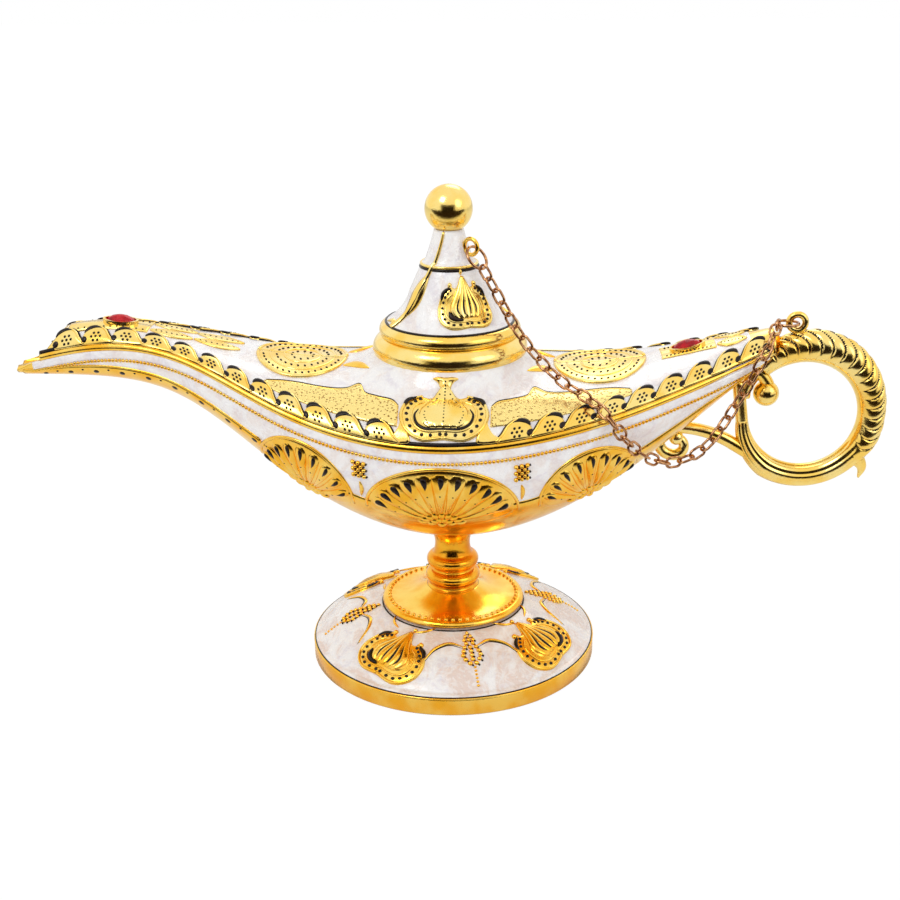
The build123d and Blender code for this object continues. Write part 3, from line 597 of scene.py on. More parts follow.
def bowl_front(turns):
    """The lip: its edge falls on a slant from the deck's end, so low down the front starts further out."""
    x = np.linspace(-DECK_END_RIM, -SPOUT_REACH, 61)[:, None]
    edge = hull_lines(-DECK_END_RIM)[1] - LIP_DROP * (-DECK_END_RIM - x) / LIP_RUN
    height = bowl_surface(x, turns[None, :])[..., 2]
    inside = np.where(height <= edge + 0.01, x, 0.0)
    return np.minimum(inside.min(axis=0), -DECK_END_RIM)


cutter_profile = [(0, RIM), (MOUTH_RADIUS, RIM), (MOUTH_RADIUS, CUTTER_TOP), (0, CUTTER_TOP)]
mouth_cutter = piece("mouth_cutter", *turned_mesh(cutter_profile), [enamel])
points, faces = shell_grid(deck_surface, deck_front)
deck = walled(piece("deck_shell", points, faces, [enamel], tidy=False), mouth_cutter)
bpy.data.objects.remove(mouth_cutter)
gilded(deck, TAIL_GILDING, PAST_ENDS, gold)
gilded(deck, -PAST_ENDS, DECK_GILDING, gold)
dress(deck, "lamp_body", "pearl_enamel", "deck")
points, faces = shell_grid(bowl_surface, bowl_front)
bowl = walled(piece("bowl_shell", points, [f[::-1] for f in faces], [enamel], tidy=False))
gilded(bowl, -PAST_ENDS, SPOUT_GILDING, amber)
gilded(bowl, TAIL_GILDING, PAST_ENDS, gold)
dress(bowl, "lamp_body", "pearl_enamel", "bowl")
print("deck", len(deck.data.polygons), "bowl", len(bowl.data.polygons), "faces")

# %% [markdown]
# ## Relief
# The ornament stands proud of the enamel by a few tenths of a millimetre. A displaced grid would need very
# many faces to hold its fine edges, so it is drawn flat instead, in two running lengths on a surface, as
# pads, wires, beads and fields. `Relief` lays the drawing on the surface and lifts it along the normal. A
# pad or bead marked with the stain and painted shade reads as a dark recess.

# %% Drawing and laying relief
GOLD, STAIN_AND_SHADE, STIPPLE, AMBER = 0, 1, 2, 3
BED = -0.30
COARSE_RINGS = (1.0, 1.0, 0.9, 0.7, 0.4)
FINE_RINGS = (1.0, 1.0, 0.97, 0.92, 0.84, 0.7, 0.5, 0.25)
FINE_OUTLINE = 24
TAPER_END, TAPER_POWER = 0.15, 0.7
NORMAL_REACH = 0.02


def tube_faces(rows, sides, closed=False):
    """Faces that join rings of points, listed ring by ring; closed joins the last ring to the first."""
    faces = []
    for k in range(rows if closed else rows - 1):
        a, b = k * sides, (k + 1) % rows * sides
        faces += [(a + i, a + (i + 1) % sides, b + (i + 1) % sides, b + i) for i in range(sides)]
    return faces


def end_caps(rows, sides):
    """One face over the first ring and one over the last."""
    return [tuple(range(sides))[::-1], tuple((rows - 1) * sides + i for i in range(sides))]


def off_vessel(spot):
    """A direction that is surely outwards at each point: away from the vessel's inner line."""
    rim = hull_lines(np.clip(spot[:, 0], -SPOUT_REACH, TAIL_REACH))[1]
    return spot - np.column_stack([spot[:, 0], 0 * spot[:, 1], rim])


class Relief:
    """A flat drawing of (u, v, height) points that is laid on a surface when it is finished."""

    def __init__(self):
        self.points, self.faces, self.marks = [], [], []

    def add(self, points, faces, mark):
        start = sum(len(p) for p in self.points)
        self.points.append(np.asarray(points, float))
        self.faces += [tuple(start + i for i in f) for f in faces]
        self.marks += [mark] * len(faces)

    def pad(self, outline, height, mark=GOLD, centre=None, base=0.0, flat=0.0):
        """A cushion over an outline that its centre can see; flat is the share of it that is level."""
        edge = np.asarray(outline, float)
        middle = np.mean(edge, axis=0) if centre is None else np.asarray(centre, float)
        count = len(edge)
        rings = []
        for share in FINE_RINGS if count >= FINE_OUTLINE else COARSE_RINGS:
            level = 0.0 if share == 1.0 else min(1.0, (1 - share**2) ** 0.5 * (1 + flat * 1.3))
            low = BED if not rings else base + height * level
            ring = middle + (edge - middle) * share
            rings.append(np.column_stack([ring, np.full(count, low)]))
        points = np.concatenate(rings + [[(*middle, base + height)], [(*middle, BED)]])
        faces = tube_faces(len(rings), count)
        top, last, under = len(points) - 2, (len(rings) - 1) * count, len(points) - 1
        faces += [(last + k, last + (k + 1) % count, top) for k in range(count)]
        faces += [((k + 1) % count, k, under) for k in range(count)]
        self.add(points, faces, mark)

    def wire(self, path, radius, mark=GOLD, sides=8, flatten=1.0, taper=False, base=0.0):
        """A wire along a path, half sunk in the level of its base; radius is one size, or one a point."""
        path = np.asarray(path, float)
        count = len(path)
        way = np.gradient(path, axis=0)
        way /= np.maximum(np.linalg.norm(way, axis=1), 1e-9)[:, None]
        side = np.column_stack([-way[:, 1], way[:, 0]])
        size = np.full(count, 1.0) * radius
        if taper:
            size *= np.sin(np.linspace(TAPER_END, pi - TAPER_END, count)) ** TAPER_POWER
        turns = np.linspace(0, 2 * pi, sides, endpoint=False)
        points = []
        for k in range(count):
            flat_part = path[k] + np.outer(np.cos(turns) * size[k], side[k])
            points.append(np.column_stack([flat_part, base + np.sin(turns) * size[k] * flatten]))
        faces = tube_faces(count, sides) + end_caps(count, sides)
        self.add(np.concatenate(points), faces, mark)

    def bead(self, centre, radius, mark=GOLD, height=None, base=0.0, sides=8):
        """A small dome."""
        turns = np.linspace(0, 2 * pi, sides, endpoint=False)
        circle = np.column_stack([np.cos(turns), np.sin(turns)]) * radius
        self.pad(circle + np.asarray(centre), radius if height is None else height, mark, base=base)

    def field(self, x0, x1, low, high, height, mark=GOLD, steps=(60, 14)):
        """A raised plate between two boundary lines low(x) and high(x)."""
        rows, count = steps
        u = np.linspace(x0, x1, rows)
        share = np.linspace(0, 1, count)
        points = []
        for level in (height, BED):
            for x in u:
                way = low(x) + (high(x) - low(x)) * share
                points.append(np.column_stack([np.full(count, x), way, np.full(count, level)]))
        faces = sheet_faces(rows, count)
        under = rows * count
        faces += [tuple(under + i for i in f[::-1]) for f in faces]
        edge = [i * count for i in range(rows)] + [(rows - 1) * count + k for k in range(1, count)]
        edge += [i * count + count - 1 for i in range(rows - 2, -1, -1)] + list(range(count - 2, 0, -1))
        faces += [(edge[k], edge[k - 1], under + edge[k - 1], under + edge[k]) for k in range(len(edge))]
        self.add(np.concatenate(points), faces, mark)

    def laid(self, name, place, finishes, outside=off_vessel, mirrored=False):
        """Lays the drawing on place(u, v); mirrored adds a copy on the other side of the lamp."""
        u, v, height = np.concatenate(self.points).T
        spot, reach = place(u, v), NORMAL_REACH
        run = place(u + reach, v) - place(u - reach, v)
        climb = place(u, v + reach) - place(u, v - reach)
        normal = np.cross(run, climb)
        normal /= np.maximum(np.linalg.norm(normal, axis=1), 1e-12)[:, None]
        outward = np.where((normal * outside(spot)).sum(axis=1) < 0, -1, 1)
        points = spot + normal * outward[:, None] * height[:, None]
        faces, marks = list(self.faces), list(self.marks)
        if mirrored:
            count = len(points)
            faces += [tuple(count + i for i in f[::-1]) for f in self.faces]
            marks = marks * 2
            points = np.concatenate([points, points * (1, -1, 1)])
        return piece(name, points, faces, finishes, marks)


print("relief reaches %.1f mm into the surface" % -BED)

# %% [markdown]
# ## Lines for the drawings
# A chaser draws a leaf with a few strokes, and so do these helpers: a smooth line through a few points, an
# arc, a leaf along a line, and a half that is mirrored into a whole. Curve objects could do it, but plain
# arrays go straight into the relief.

# %% Curves, arcs and leaves
LEAF_END = 0.06


def curve(points, count=40):
    """A smooth open line through a few points, by running cubics."""
    points = np.asarray(points, float)
    ghost = np.concatenate([[2 * points[0] - points[1]], points, [2 * points[-1] - points[-2]]])
    out = []
    per = max(2, count // (len(points) - 1))
    for p0, p1, p2, p3 in zip(ghost, ghost[1:], ghost[2:], ghost[3:]):
        t = np.linspace(0, 1, per, endpoint=False)[:, None]
        out.append(0.5 * (2 * p1 + (p2 - p0) * t + (2 * p0 - 5 * p1 + 4 * p2 - p3) * t**2
                          + (3 * p1 - p0 - 3 * p2 + p3) * t**3))
    return np.concatenate(out + [points[-1:]])


def both_sides(half):
    """A closed outline from its left half, listed from top to bottom on the middle line."""
    half = np.asarray(half, float)
    return np.concatenate([half, (half * (-1, 1))[::-1][1:-1]])


def arc_line(centre, radii, start, end, count=40):
    """Part of an ellipse, between two angles in degrees."""
    turns = np.radians(np.linspace(start, end, count))
    return np.column_stack([centre[0] + radii[0] * np.cos(turns), centre[1] + radii[1] * np.sin(turns)])


def leaf(path, half, count=24):
    """The outline of a leaf along a few points, widest in the middle by half on each side."""
    line = curve(path, count)
    way = np.gradient(line, axis=0)
    way /= np.linalg.norm(way, axis=1)[:, None]
    side = np.column_stack([-way[:, 1], way[:, 0]]) * half
    width = np.sin(np.linspace(LEAF_END, pi - LEAF_END, len(line)))[:, None]
    return np.concatenate([line + side * width, (line - side * width)[::-1]])


def moved(points, shift, size=1.0, turn=0.0):
    """Points scaled, turned by degrees and shifted."""
    c, s = cos(radians(turn)), sin(radians(turn))
    return np.asarray(points, float) * size @ np.array([[c, s], [-s, c]]) + np.asarray(shift)


def level_line(across, way):
    """A line that keeps one way from the rim."""
    return np.column_stack([across, np.full(len(across), way)])


def running_length(line):
    """The length of a line up to each of its points."""
    return np.concatenate([[0], np.linalg.norm(np.diff(line, axis=0), axis=1).cumsum()])


print("a leaf has", len(leaf([(0, 0), (1, 0)], 0.1)), "points")

# %% [markdown]
# ## Palmette
# One bulb motif serves the deck, the lid and the foot: a pointed bulb of five ribs on a plate, with a border
# of dark dots between two wires and a shadow on each shoulder. It is drawn once, about 19 mm wide and 17 mm
# tall, because a caster too would reuse one pattern, and each place sets its size and turn. On the lid and
# the foot the ribs part at dark slits and small balls end the bulb. On the deck they part at dotted lines,
# and the bulb has a flared neck and foot.

# %% The palmette
PLATE = 0.48
PLATE_HALF = [
    (0, 15.0), (-1.3, 13.5), (-2.9, 11.8), (-5.4, 12.0), (-8.2, 10.0),
    (-9.3, 6.4), (-8.2, 2.8), (-4.8, 0.5), (0, 0.9),
]
BULB_HALF = [
    (0, 15.4), (-0.8, 13.2), (-2.2, 11.3), (-4.6, 9.0),
    (-5.8, 6.4), (-5.2, 4.3), (-3.2, 3.3), (0, 3.3),
]
RIM_HALF = [(-4.6, 12.0), (-7.4, 10.7), (-8.8, 6.6), (-7.8, 3.0), (-4.6, 0.9), (0, 1.3)]
DOTS_HALF = [(-5.0, 11.1), (-6.9, 9.4), (-7.7, 6.5), (-6.8, 3.5), (-4.3, 1.8), (-0.6, 2.0)]
INNER_HALF = [(-4.2, 10.2), (-6.0, 9.0), (-6.7, 6.5), (-6.0, 4.0), (-3.8, 2.6), (0, 2.7)]
NECK_HALF = [(0, 16.5), (-1.6, 16.6), (-2.7, 16.2), (-1.6, 15.3), (-0.9, 13.6)]
BULB_SHADOW_HALF = [(-5.3, 8.0), (-6.0, 6.2), (-5.3, 4.1), (-3.2, 3.05), (0, 3.0)]
FLARE_HALF = [(-8.9, 5.6), (-9.2, 3.4), (-10.4, 1.3), (-12.8, -0.2), (-7.0, -0.2), (-7.2, 2.6)]
SHADOW_HALF = [(-8.4, 8.4), (-7.5, 10.6), (-5.0, 12.0)]
SHADOW_CRESCENT_HALF = [(-5.5, 5.6), (-4.9, 4.2), (-3.4, 3.3), (-1.5, 3.2)]
RIB_LINE = np.array([(0.15, 14.6), (0.8, 11.2), (1.95, 7.0), (1.75, 4.8), (1.3, 3.6)])
RIB_FALL = 0.09


def rib_line(rib):
    """The middle of a rib, counted from the bulb's middle line; a half lies between two ribs."""
    return curve(RIB_LINE * (rib, 1), 24)


def palmette(relief, centre, size=1.0, turn=0.0, slits=True, shade=1, wide=1.0):
    """The bulb on its plate: turn in degrees, wide as a stretch across, shade as the side of its painted
    shadow.
    """
    def at(points):
        return moved(np.asarray(points, float) * (wide, 1), centre, size, turn)

    def spot(x, y):
        return at([(x, y)])[0]

    def dots(places, radius, height, base, sides=6):
        for place in at(places):
            relief.bead(place, radius * size, STAIN_AND_SHADE, height, base, sides=sides)

    relief.pad(at(both_sides(curve(PLATE_HALF, 48))), PLATE, centre=spot(0, 6.0), flat=1.0)
    relief.pad(at(both_sides(curve(BULB_HALF, 40))), 1.0, centre=spot(0, 6.8), flat=0.3)
    swell = 0.5 if slits else 0.26
    for rib in range(-2, 3):
        level = 0.84 - RIB_FALL * abs(rib)
        relief.wire(at(rib_line(rib)), 1.04 * size, taper=True, flatten=swell, base=level)
    if slits:
        for rib in (-1.5, -0.5, 0.5, 1.5):
            level = 1.0 - RIB_FALL * abs(rib)
            relief.wire(at(rib_line(rib)[4:-4]), 0.34 * size, STAIN_AND_SHADE, sides=6, taper=True, base=level)
        relief.bead(spot(0, 15.9), 0.7 * size, height=0.8)
    else:
        relief.pad(at(both_sides(curve(NECK_HALF, 24))), 0.85, centre=spot(0, 15.6))
        # a dark line of painted shadow along the bulb's lower outline
        bulb_shadow = curve(BULB_SHADOW_HALF, 24)
        bulb_shadow = np.concatenate([bulb_shadow, (bulb_shadow[:-1] * (-1, 1))[::-1]])
        relief.wire(at(bulb_shadow), 0.42 * size, STAIN_AND_SHADE, sides=6, taper=True, flatten=0.6, base=PLATE)
        dots([(0, y) for y in np.linspace(4.6, 15.4, 14)], 0.2, 0.2, 1.02)
    for flip in (1, -1):
        mirror = (flip, 1)
        relief.wire(at(curve(RIM_HALF, 40) * mirror), 0.36 * size, sides=6, base=PLATE * 0.8)
        relief.wire(at(curve(INNER_HALF, 40) * mirror), 0.26 * size, sides=6, base=PLATE)
        dots(curve(DOTS_HALF, 90)[::9] * mirror, 0.45, 0.25, PLATE, sides=5)
        shadow = at(curve(SHADOW_HALF, 16) * mirror)
        relief.wire(shadow, 0.5 * size, STAIN_AND_SHADE, sides=6, flatten=0.5, taper=True, base=PLATE * 1.2)
        # a crescent of painted shadow under the bulb on its shade side
        if slits and flip == shade:
            shadow_crescent = at(curve(SHADOW_CRESCENT_HALF, 20) * mirror)
            relief.wire(shadow_crescent, 0.6 * size, STAIN_AND_SHADE, flatten=0.5, taper=True, base=0.7)
        if slits:
            relief.bead(spot(-5.3 * flip, 12.5), 0.78 * size, height=0.8)
        else:
            flare = at(curve(np.array(FLARE_HALF) * mirror, 24))
            relief.pad(flare, 0.36, centre=spot(-8.6 * flip, 1.6), flat=1.0)
            dots(rib_line(2)[4:-4:2] * mirror, 0.18, 0.2, 0.9)


print("palmette: five ribs, each a line of", len(rib_line(1)), "points")

# %% [markdown]
# ## Scallops along the rim
# A gold wire and a dark line of painted shade follow the rim, and a border of waves stands on them on both
# sides, each with a flower of dots and a dark notch, falling away towards the belly. An Array modifier along a
# curve would stretch them where the rim bends, so each is drawn on its own at an even step along the rim.

# %% Rim wires and scallops
SCALLOP_PITCH = 7.55
BORDER_GAP = 11.5
BORDER_START, BORDER_ENDS = 4.2, 6.0
FULL_SCALLOP_WAY = 8.6
WAVE_CREST = [
    (-3.7, 1.5), (-3.75, 3.3), (-2.9, 5.1), (-1.2, 6.2),
    (0.5, 6.0), (1.9, 4.9), (3.1, 3.1), (4.4, 1.8),
]
FLOWER = np.array([-0.2, 3.15])
deck_relief = Relief()
rim_x = np.linspace(-98.4, 75.4, 400)
rim_size = np.interp(rim_x, [58.0, 65.0], [0.9, 0.45])
deck_relief.wire(level_line(rim_x, 0.6), rim_size, AMBER, flatten=0.5)
# the dark line is a painted dark reflection on the upper half of the rounded rim
deck_relief.wire(level_line(rim_x, 1.7), 0.55, STAIN_AND_SHADE, flatten=0.5)


def scallop(centre_x, slope, size):
    """One wave of the border: it rises over a dark notch and falls away towards the belly."""
    fall = -1 if centre_x > 0 else 1

    def at(points):
        points = np.asarray(points, float) * size
        return np.column_stack([centre_x + points[:, 0] * slope * fall, points[:, 1]])

    wave = np.vstack([curve(WAVE_CREST, 36), [(4.4, 1.4), (-3.7, 1.4)]])
    deck_relief.pad(at(wave), 0.62, centre=at([(-0.4, 3.2)])[0], flat=0.9)
    edge = curve([(-0.6, 6.15), (0.5, 6.0), (1.9, 4.9), (3.1, 3.1), (4.5, 1.75)], 24)
    deck_relief.wire(at(edge), 0.26 * size, sides=6, base=0.5)
    # a dark line of painted shade beside the falling edge
    deck_relief.wire(at(edge + (0.34, 0.26)), 0.17 * size, STAIN_AND_SHADE, sides=6, base=0.2)
    # the dark brow, the flower's dots and the notch: dark antique in the recesses, partly painted shade and
    # dark reflection
    brow = curve([(-3.2, 4.3), (-2.3, 5.4), (-0.9, 5.95), (0.7, 5.7)], 20)
    deck_relief.wire(at(brow), 0.66 * size, STAIN_AND_SHADE, sides=6, taper=True, flatten=0.45, base=0.55)
    for turn in np.arange(6) * pi / 3:
        petal = FLOWER + (1.12 * cos(turn), 1.0 * sin(turn))
        deck_relief.bead(at([petal])[0], 0.36 * size, STAIN_AND_SHADE, 0.3, 0.55, sides=6)
    deck_relief.bead(at([FLOWER])[0], 0.36 * size, STAIN_AND_SHADE, 0.3, 0.57, sides=6)
    deck_relief.bead(at([(-3.15, 2.6)])[0], 0.86 * size, STAIN_AND_SHADE, 0.3, 0.52)


rim_run = running_length(deck_surface(rim_x, np.zeros_like(rim_x)))
scallop_count = round((rim_run[-1] - 4.0) / SCALLOP_PITCH)
for k in range(scallop_count):
    spot = BORDER_START + (rim_run[-1] - BORDER_ENDS) * (k + 0.5) / scallop_count
    x = float(np.interp(spot, rim_run, rim_x))
    slope = float(np.interp(spot, rim_run[:-1], np.diff(rim_x) / np.diff(rim_run)))
    if abs(x) > BORDER_GAP:
        scallop(x, slope, min(1.0, deck_crest(x) / FULL_SCALLOP_WAY))
print("scallop places on each side:", scallop_count)

# %% [markdown]
# ## Palmette and fields at the belly
# A palmette stands at the middle of each side, and a stippled field with a wavy edge reaches out from it to
# both ends. The field is a low plate between two lines. A texture mask could colour it, but the raised edge
# is what catches the light.

# %% Belly of the deck
FIELD_ENDS, FIELD_LOW, FIELD_HEIGHT = (10.4, 42.2), 5.4, 0.26
WAVE_X = [10.6, 12.2, 15.5, 18.6, 20.1, 22.6, 25.5, 29.5, 34.0, 38.0, 41.8]
WAVE_WAY = [11.2, 12.9, 13.4, 14.2, 17.2, 14.6, 13.2, 12.2, 11.2, 9.6, 7.2]


def field_low(x):
    return FIELD_LOW


def field_high(x):
    return np.interp(abs(x), WAVE_X, WAVE_WAY)


palmette(deck_relief, (0, 1.9), 1.09, slits=False)
for flip in (-1, 1):
    ends = sorted(flip * end for end in FIELD_ENDS)
    deck_relief.field(*ends, field_low, field_high, FIELD_HEIGHT, STIPPLE)
    edge = curve([(flip * x, way) for x, way in zip(WAVE_X, WAVE_WAY)], 90)
    deck_relief.wire(edge, 0.34)
    # a dark line of painted shade beside the field's wavy edge
    deck_relief.wire(edge + (0, 0.62), 0.20, STAIN_AND_SHADE, sides=6)
print("deck relief so far:", len(deck_relief.faces), "faces a side")

# %% [markdown]
# ## Medallions across the crest
# On the way to the spout and to the handle a round medallion lies across the crest, with rings and rows of
# dots, and an amber leaf beside it. Drawn from the rim it would drift off the middle line, because the deck
# narrows there. So it is drawn from the crest line down, one half on each side of the lamp.

# %% Medallions
CREST_X = np.linspace(-99.0, 75.8, 200)
CREST_WAYS = [deck_crest(x) for x in CREST_X]
MEDALLION, MEDALLION_X = np.array([10.8, 13.0]), 35.6
MEDALLION_WIRES = ((0.98, 0.42), (0.72, 0.36), (0.40, 0.42))
MEDALLION_DOTS = ((0.86, 17), (0.57, 11), (0.24, 5))
SWASH = np.array([(25.2, -5.5), (22.0, -6.2), (18.4, -10.0)])


def under_crest(points):
    """Points drawn as (x, height over the crest line), read by x and the way from the rim."""
    points = np.asarray(points, float)
    return np.column_stack([points[:, 0], np.interp(points[:, 0], CREST_X, CREST_WAYS) + points[:, 1]])


for flip in (-1, 1):
    middle = (flip * MEDALLION_X, 0.0)
    half_disc = np.vstack([arc_line(middle, MEDALLION, 180, 360, 48), [middle]])
    deck_relief.pad(under_crest(half_disc), 0.34, centre=under_crest([(middle[0], -4.0)])[0], flat=1.2)
    for share, radius in MEDALLION_WIRES:
        deck_relief.wire(under_crest(arc_line(middle, MEDALLION * share, 183, 357, 50)), radius, base=0.2)
    for share, dots in MEDALLION_DOTS:
        for spot in under_crest(arc_line(middle, MEDALLION * share, 194, 346, dots)):
            deck_relief.bead(spot, 0.34, STAIN_AND_SHADE, 0.3, 0.3, sides=6)
    swash = under_crest(SWASH * (flip, 1))
    deck_relief.pad(leaf(swash, 1.5), 0.6, AMBER, centre=swash[1])
print("crest from %.1f to %.1f mm off the rim" % (min(CREST_WAYS), max(CREST_WAYS)))

# %% [markdown]
# ## Crest plates and leaves
# Towards both ends a narrow plate with a row of dots runs along the crest, with dotted leaves before it.
# They close the ornament, and the whole drawing is then laid on the deck once, with a mirrored copy for the
# other side.

# %% Plates, leaves, and laying the deck's relief
CREST_PLATES = ((-91.5, -72.0), (50.0, 62.5))
CREST_LEAVES = ((-71.4, -61.6), (-61.0, -50.4), (63.0, 69.4))
PLATE_WAY, PLATE_DOTS_WAY, LEAF_WAY, PLATE_DOTS = 3.9, 3.2, 2.5, 12


def plate_edge(x):
    return deck_crest(x) - PLATE_WAY


for x0, x1 in CREST_PLATES:
    deck_relief.field(x0, x1, plate_edge, deck_crest, 0.22, steps=(40, 6))
    deck_relief.wire([(x, plate_edge(x)) for x in np.linspace(x0, x1, 40)], 0.3)
    for x in np.linspace(x0 + 1.2, x1 - 1.2, PLATE_DOTS):
        deck_relief.bead((x, deck_crest(x) - PLATE_DOTS_WAY), 0.26, STAIN_AND_SHADE, 0.25, 0.2, sides=6)
for x0, x1 in CREST_LEAVES:
    spine = [(x, deck_crest(x) - LEAF_WAY) for x in (x0, (x0 + x1) / 2, x1)]
    blade = leaf(spine, 1.75)
    deck_relief.pad(blade, 0.34, flat=0.8)
    deck_relief.wire(np.vstack([blade, blade[:1]]), 0.27, sides=6, base=0.15)
    for spot in curve(spine, 24)[3:-2:3]:
        deck_relief.bead(spot, 0.26, STAIN_AND_SHADE, 0.2, 0.28, sides=6)
deck_finishes = [gold, stain_and_shade, stipple, amber]
deck_ornament = deck_relief.laid("deck_ornament", deck_place, deck_finishes, mirrored=True)
dress(deck_ornament, "lamp_body", "gold_plate")
print("deck ornament:", len(deck_relief.faces), "faces a side")

# %% [markdown]
# ## Band under the rim
# Under the rim lies a half-round band of enamel. It is one flattened wire on the bowl's surface. A bevelled
# curve would do as well, but would have to be fitted to the hull by hand.

# %% Rim band
band = Relief()
band.wire(level_line(np.linspace(-100.5, 74.5, 300), 1.15), 1.12, sides=12, flatten=0.3)
dress(band.laid("rim_band", bowl_place, [enamel], mirrored=True), "lamp_body", "pearl_enamel")
print("rim band:", len(band.faces), "faces a side")

# %% [markdown]
# ## Shell fans
# Three shells of ribs cover the belly of the bowl on each side, each spreading from a rosette, with a dark
# drop near the tip of every rib. One rib on a Mirror and an Array would be even all round, but these lean
# out of an ellipse and grow with it, so each rib is drawn from the rosette to its own tip.

# %% Fans on the bowl
FAN_RIB = np.array([(0.22, 0.12), (0.6, 0.62), (0.9, 1.0), (1.0, 0.45)])
FAN_DROP = np.array([(0.74, 0), (0.83, 0.36), (0.92, 0.42), (0.955, 0), (0.92, -0.2), (0.83, -0.12)])
FAN_DROP_LINE = np.vstack([FAN_DROP, FAN_DROP[:1]])
FAN_FOOT, FAN_TIP, FAN_RIB_HALF, FAN_BACK = 0.30, 0.93, 0.125, 0.45
FAN_START, FAN_SWEEP = 186, 168
ROSETTE = ((9, 4.3, 0.95), (6, 2.3, 1.10))
bowl_relief = Relief()


def fan_rib(foot, tip, half, size):
    """A rib from the rosette to its tip, widest by half near the tip, with its drop and a dot."""
    way = tip - foot
    length = np.linalg.norm(way)
    lean = np.degrees(np.arctan2(way[1], way[0]))
    rib = curve(FAN_RIB * (length, half), 14)
    rib = np.concatenate([rib, (rib * (1, -1))[::-1]])
    bowl_relief.pad(moved(rib, foot, 1.0, lean), 1.1, centre=foot + way * 0.74)
    drop = curve(FAN_DROP_LINE * (length, half), 18)[:-1]
    bowl_relief.pad(moved(drop, foot, 1.0, lean), 0.4, STAIN_AND_SHADE, base=0.85)
    bowl_relief.bead(foot + way * 0.66, 0.30 * size, STAIN_AND_SHADE, 0.3, 0.85, sides=6)


def fan(centre, radii, ribs, size=1.0):
    """A shell of ribs that spread from a rosette of two rows of petals."""
    radii = np.array(radii)
    shell = arc_line(centre, radii, 180, 360, 40)
    back = arc_line(centre, radii * (1, FAN_BACK), 0, 180, 24)
    bowl_relief.pad(np.concatenate([shell, back]), 0.35, centre=centre, flat=1.0)
    bowl_relief.wire(arc_line(centre, radii, 176, 364, 60), 0.42 * size)
    foot = np.array(centre) + (0, radii[1] * FAN_FOOT)
    for k in range(ribs):
        turn = FAN_START + FAN_SWEEP * (k + 0.5) / ribs
        tip = arc_line(centre, radii * FAN_TIP, turn, turn, 1)[0]
        fan_rib(foot, tip, radii[0] * FAN_RIB_HALF * size, size)
    petal = arc_line((0, 0), (1.5 * size, 0.95 * size), 0, 330, 12)
    for petals, reach, height in ROSETTE:
        for k in range(petals):
            turn = 180 + 180 * (k + 0.5) / petals
            spot = foot + np.array([cos(radians(turn)), sin(radians(turn)) * 0.8]) * reach * size
            bowl_relief.pad(moved(petal, spot, 1.0, turn), height)
    bowl_relief.bead(foot, 1.15 * size, height=1.25)


fan((-0.8, 17.6), (17.4, 13.6), 11)
fan((-33.0, 18.5), (11.6, 14.0), 9, 0.95)
fan((33.0, 18.5), (11.6, 13.2), 9, 0.95)
print("fans:", len(bowl_relief.faces), "faces a side")

# %% [markdown]
# ## Flower lozenges, strips and the belly's ground
# Little lozenges of beads with a stalk fill the white corners between the fans. A gold strip with dark dots
# runs out under the spout, a plain one under the tail, and a low gold ground closes the bowl between the
# fans down to the keel. The grounds are fields, because their edges are lines and not motifs.

# %% Lozenges and grounds
LOZENGE_X, LOZENGE_WAY, LOZENGE_STEP = (-19.3, 17.4), 6.6, (0.62, 0.86)
LOZENGE = [(i, k) for i in range(-2, 3) for k in range(-2, 3) if abs(i) + abs(k) < 3]
SPOUT_DOTS = np.arange(-98.0, -45.0, 6.6)
SPOUT_DOT_STEP = 3.3
BELLY_ENDS = (-44, 44.5)
belly_x = np.linspace(*BELLY_ENDS, 160)
belly_ways = [keel_way(x) for x in belly_x]
for x in LOZENGE_X:
    for i, k in LOZENGE:
        across, way = x + (i - k) * LOZENGE_STEP[0], LOZENGE_WAY + (i + k) * LOZENGE_STEP[1]
        bowl_relief.bead((across, way), 0.56, height=0.75, sides=7)
        # a small dark bead of painted shade beside each bead
        bowl_relief.bead((across + LOZENGE_STEP[0], way), 0.22, STAIN_AND_SHADE, 0.6, sides=6)
    bowl_relief.wire(curve([(x, 10.2), (x + 0.3, 12.4), (x, 15.0)], 16), 0.5, taper=True)


def spout_edge(x):
    return np.interp(x, [-104, -95, -67, -44], [1.6, 3.0, 6.2, 10.5])


def tail_edge(x):
    return np.interp(x, [44, 60, 72.5], [11.0, 5.6, 2.6])


def belly_edge(x):
    return np.interp(abs(x), [0, 19, 44.5], [15.8, 15.8, 11.2])


def belly_keel(x):
    return np.interp(x, belly_x, belly_ways)


bowl_relief.field(-103.6, -43.5, spout_edge, keel_way, 0.30, steps=(70, 10))
bowl_relief.field(44.0, 72.5, tail_edge, keel_way, 0.30, steps=(40, 10))
edge_x = np.linspace(-103.4, -43.8, 80)
bowl_relief.wire(np.column_stack([edge_x, spout_edge(edge_x)]), 0.32)
for x in SPOUT_DOTS:
    bowl_relief.bead((x, spout_edge(x) + 1.9), 0.85, STAIN_AND_SHADE, 0.30, 0.15)
    between = x + SPOUT_DOT_STEP
    bowl_relief.bead((between, spout_edge(between) + 1.1), 0.36, STAIN_AND_SHADE, 0.25, 0.2)
bowl_relief.field(*BELLY_ENDS, belly_edge, belly_keel, 0.26, steps=(90, 16))
bowl_ornament = bowl_relief.laid("bowl_ornament", bowl_place, [amber, stain_and_shade], mirrored=True)
dress(bowl_ornament, "lamp_body", "gold_plate")
print("bowl ornament:", len(bowl_relief.faces), "faces a side")

# %% [markdown]
# ## Repeats by Geometry Nodes
# Beads and links are one motif on many points. Copying objects would fill the scene with hundreds of them.
# The tree reads a turn that is stored on each point, puts the motif there at one size, makes the copies real
# and sets the finish. The result is read back as a plain mesh.


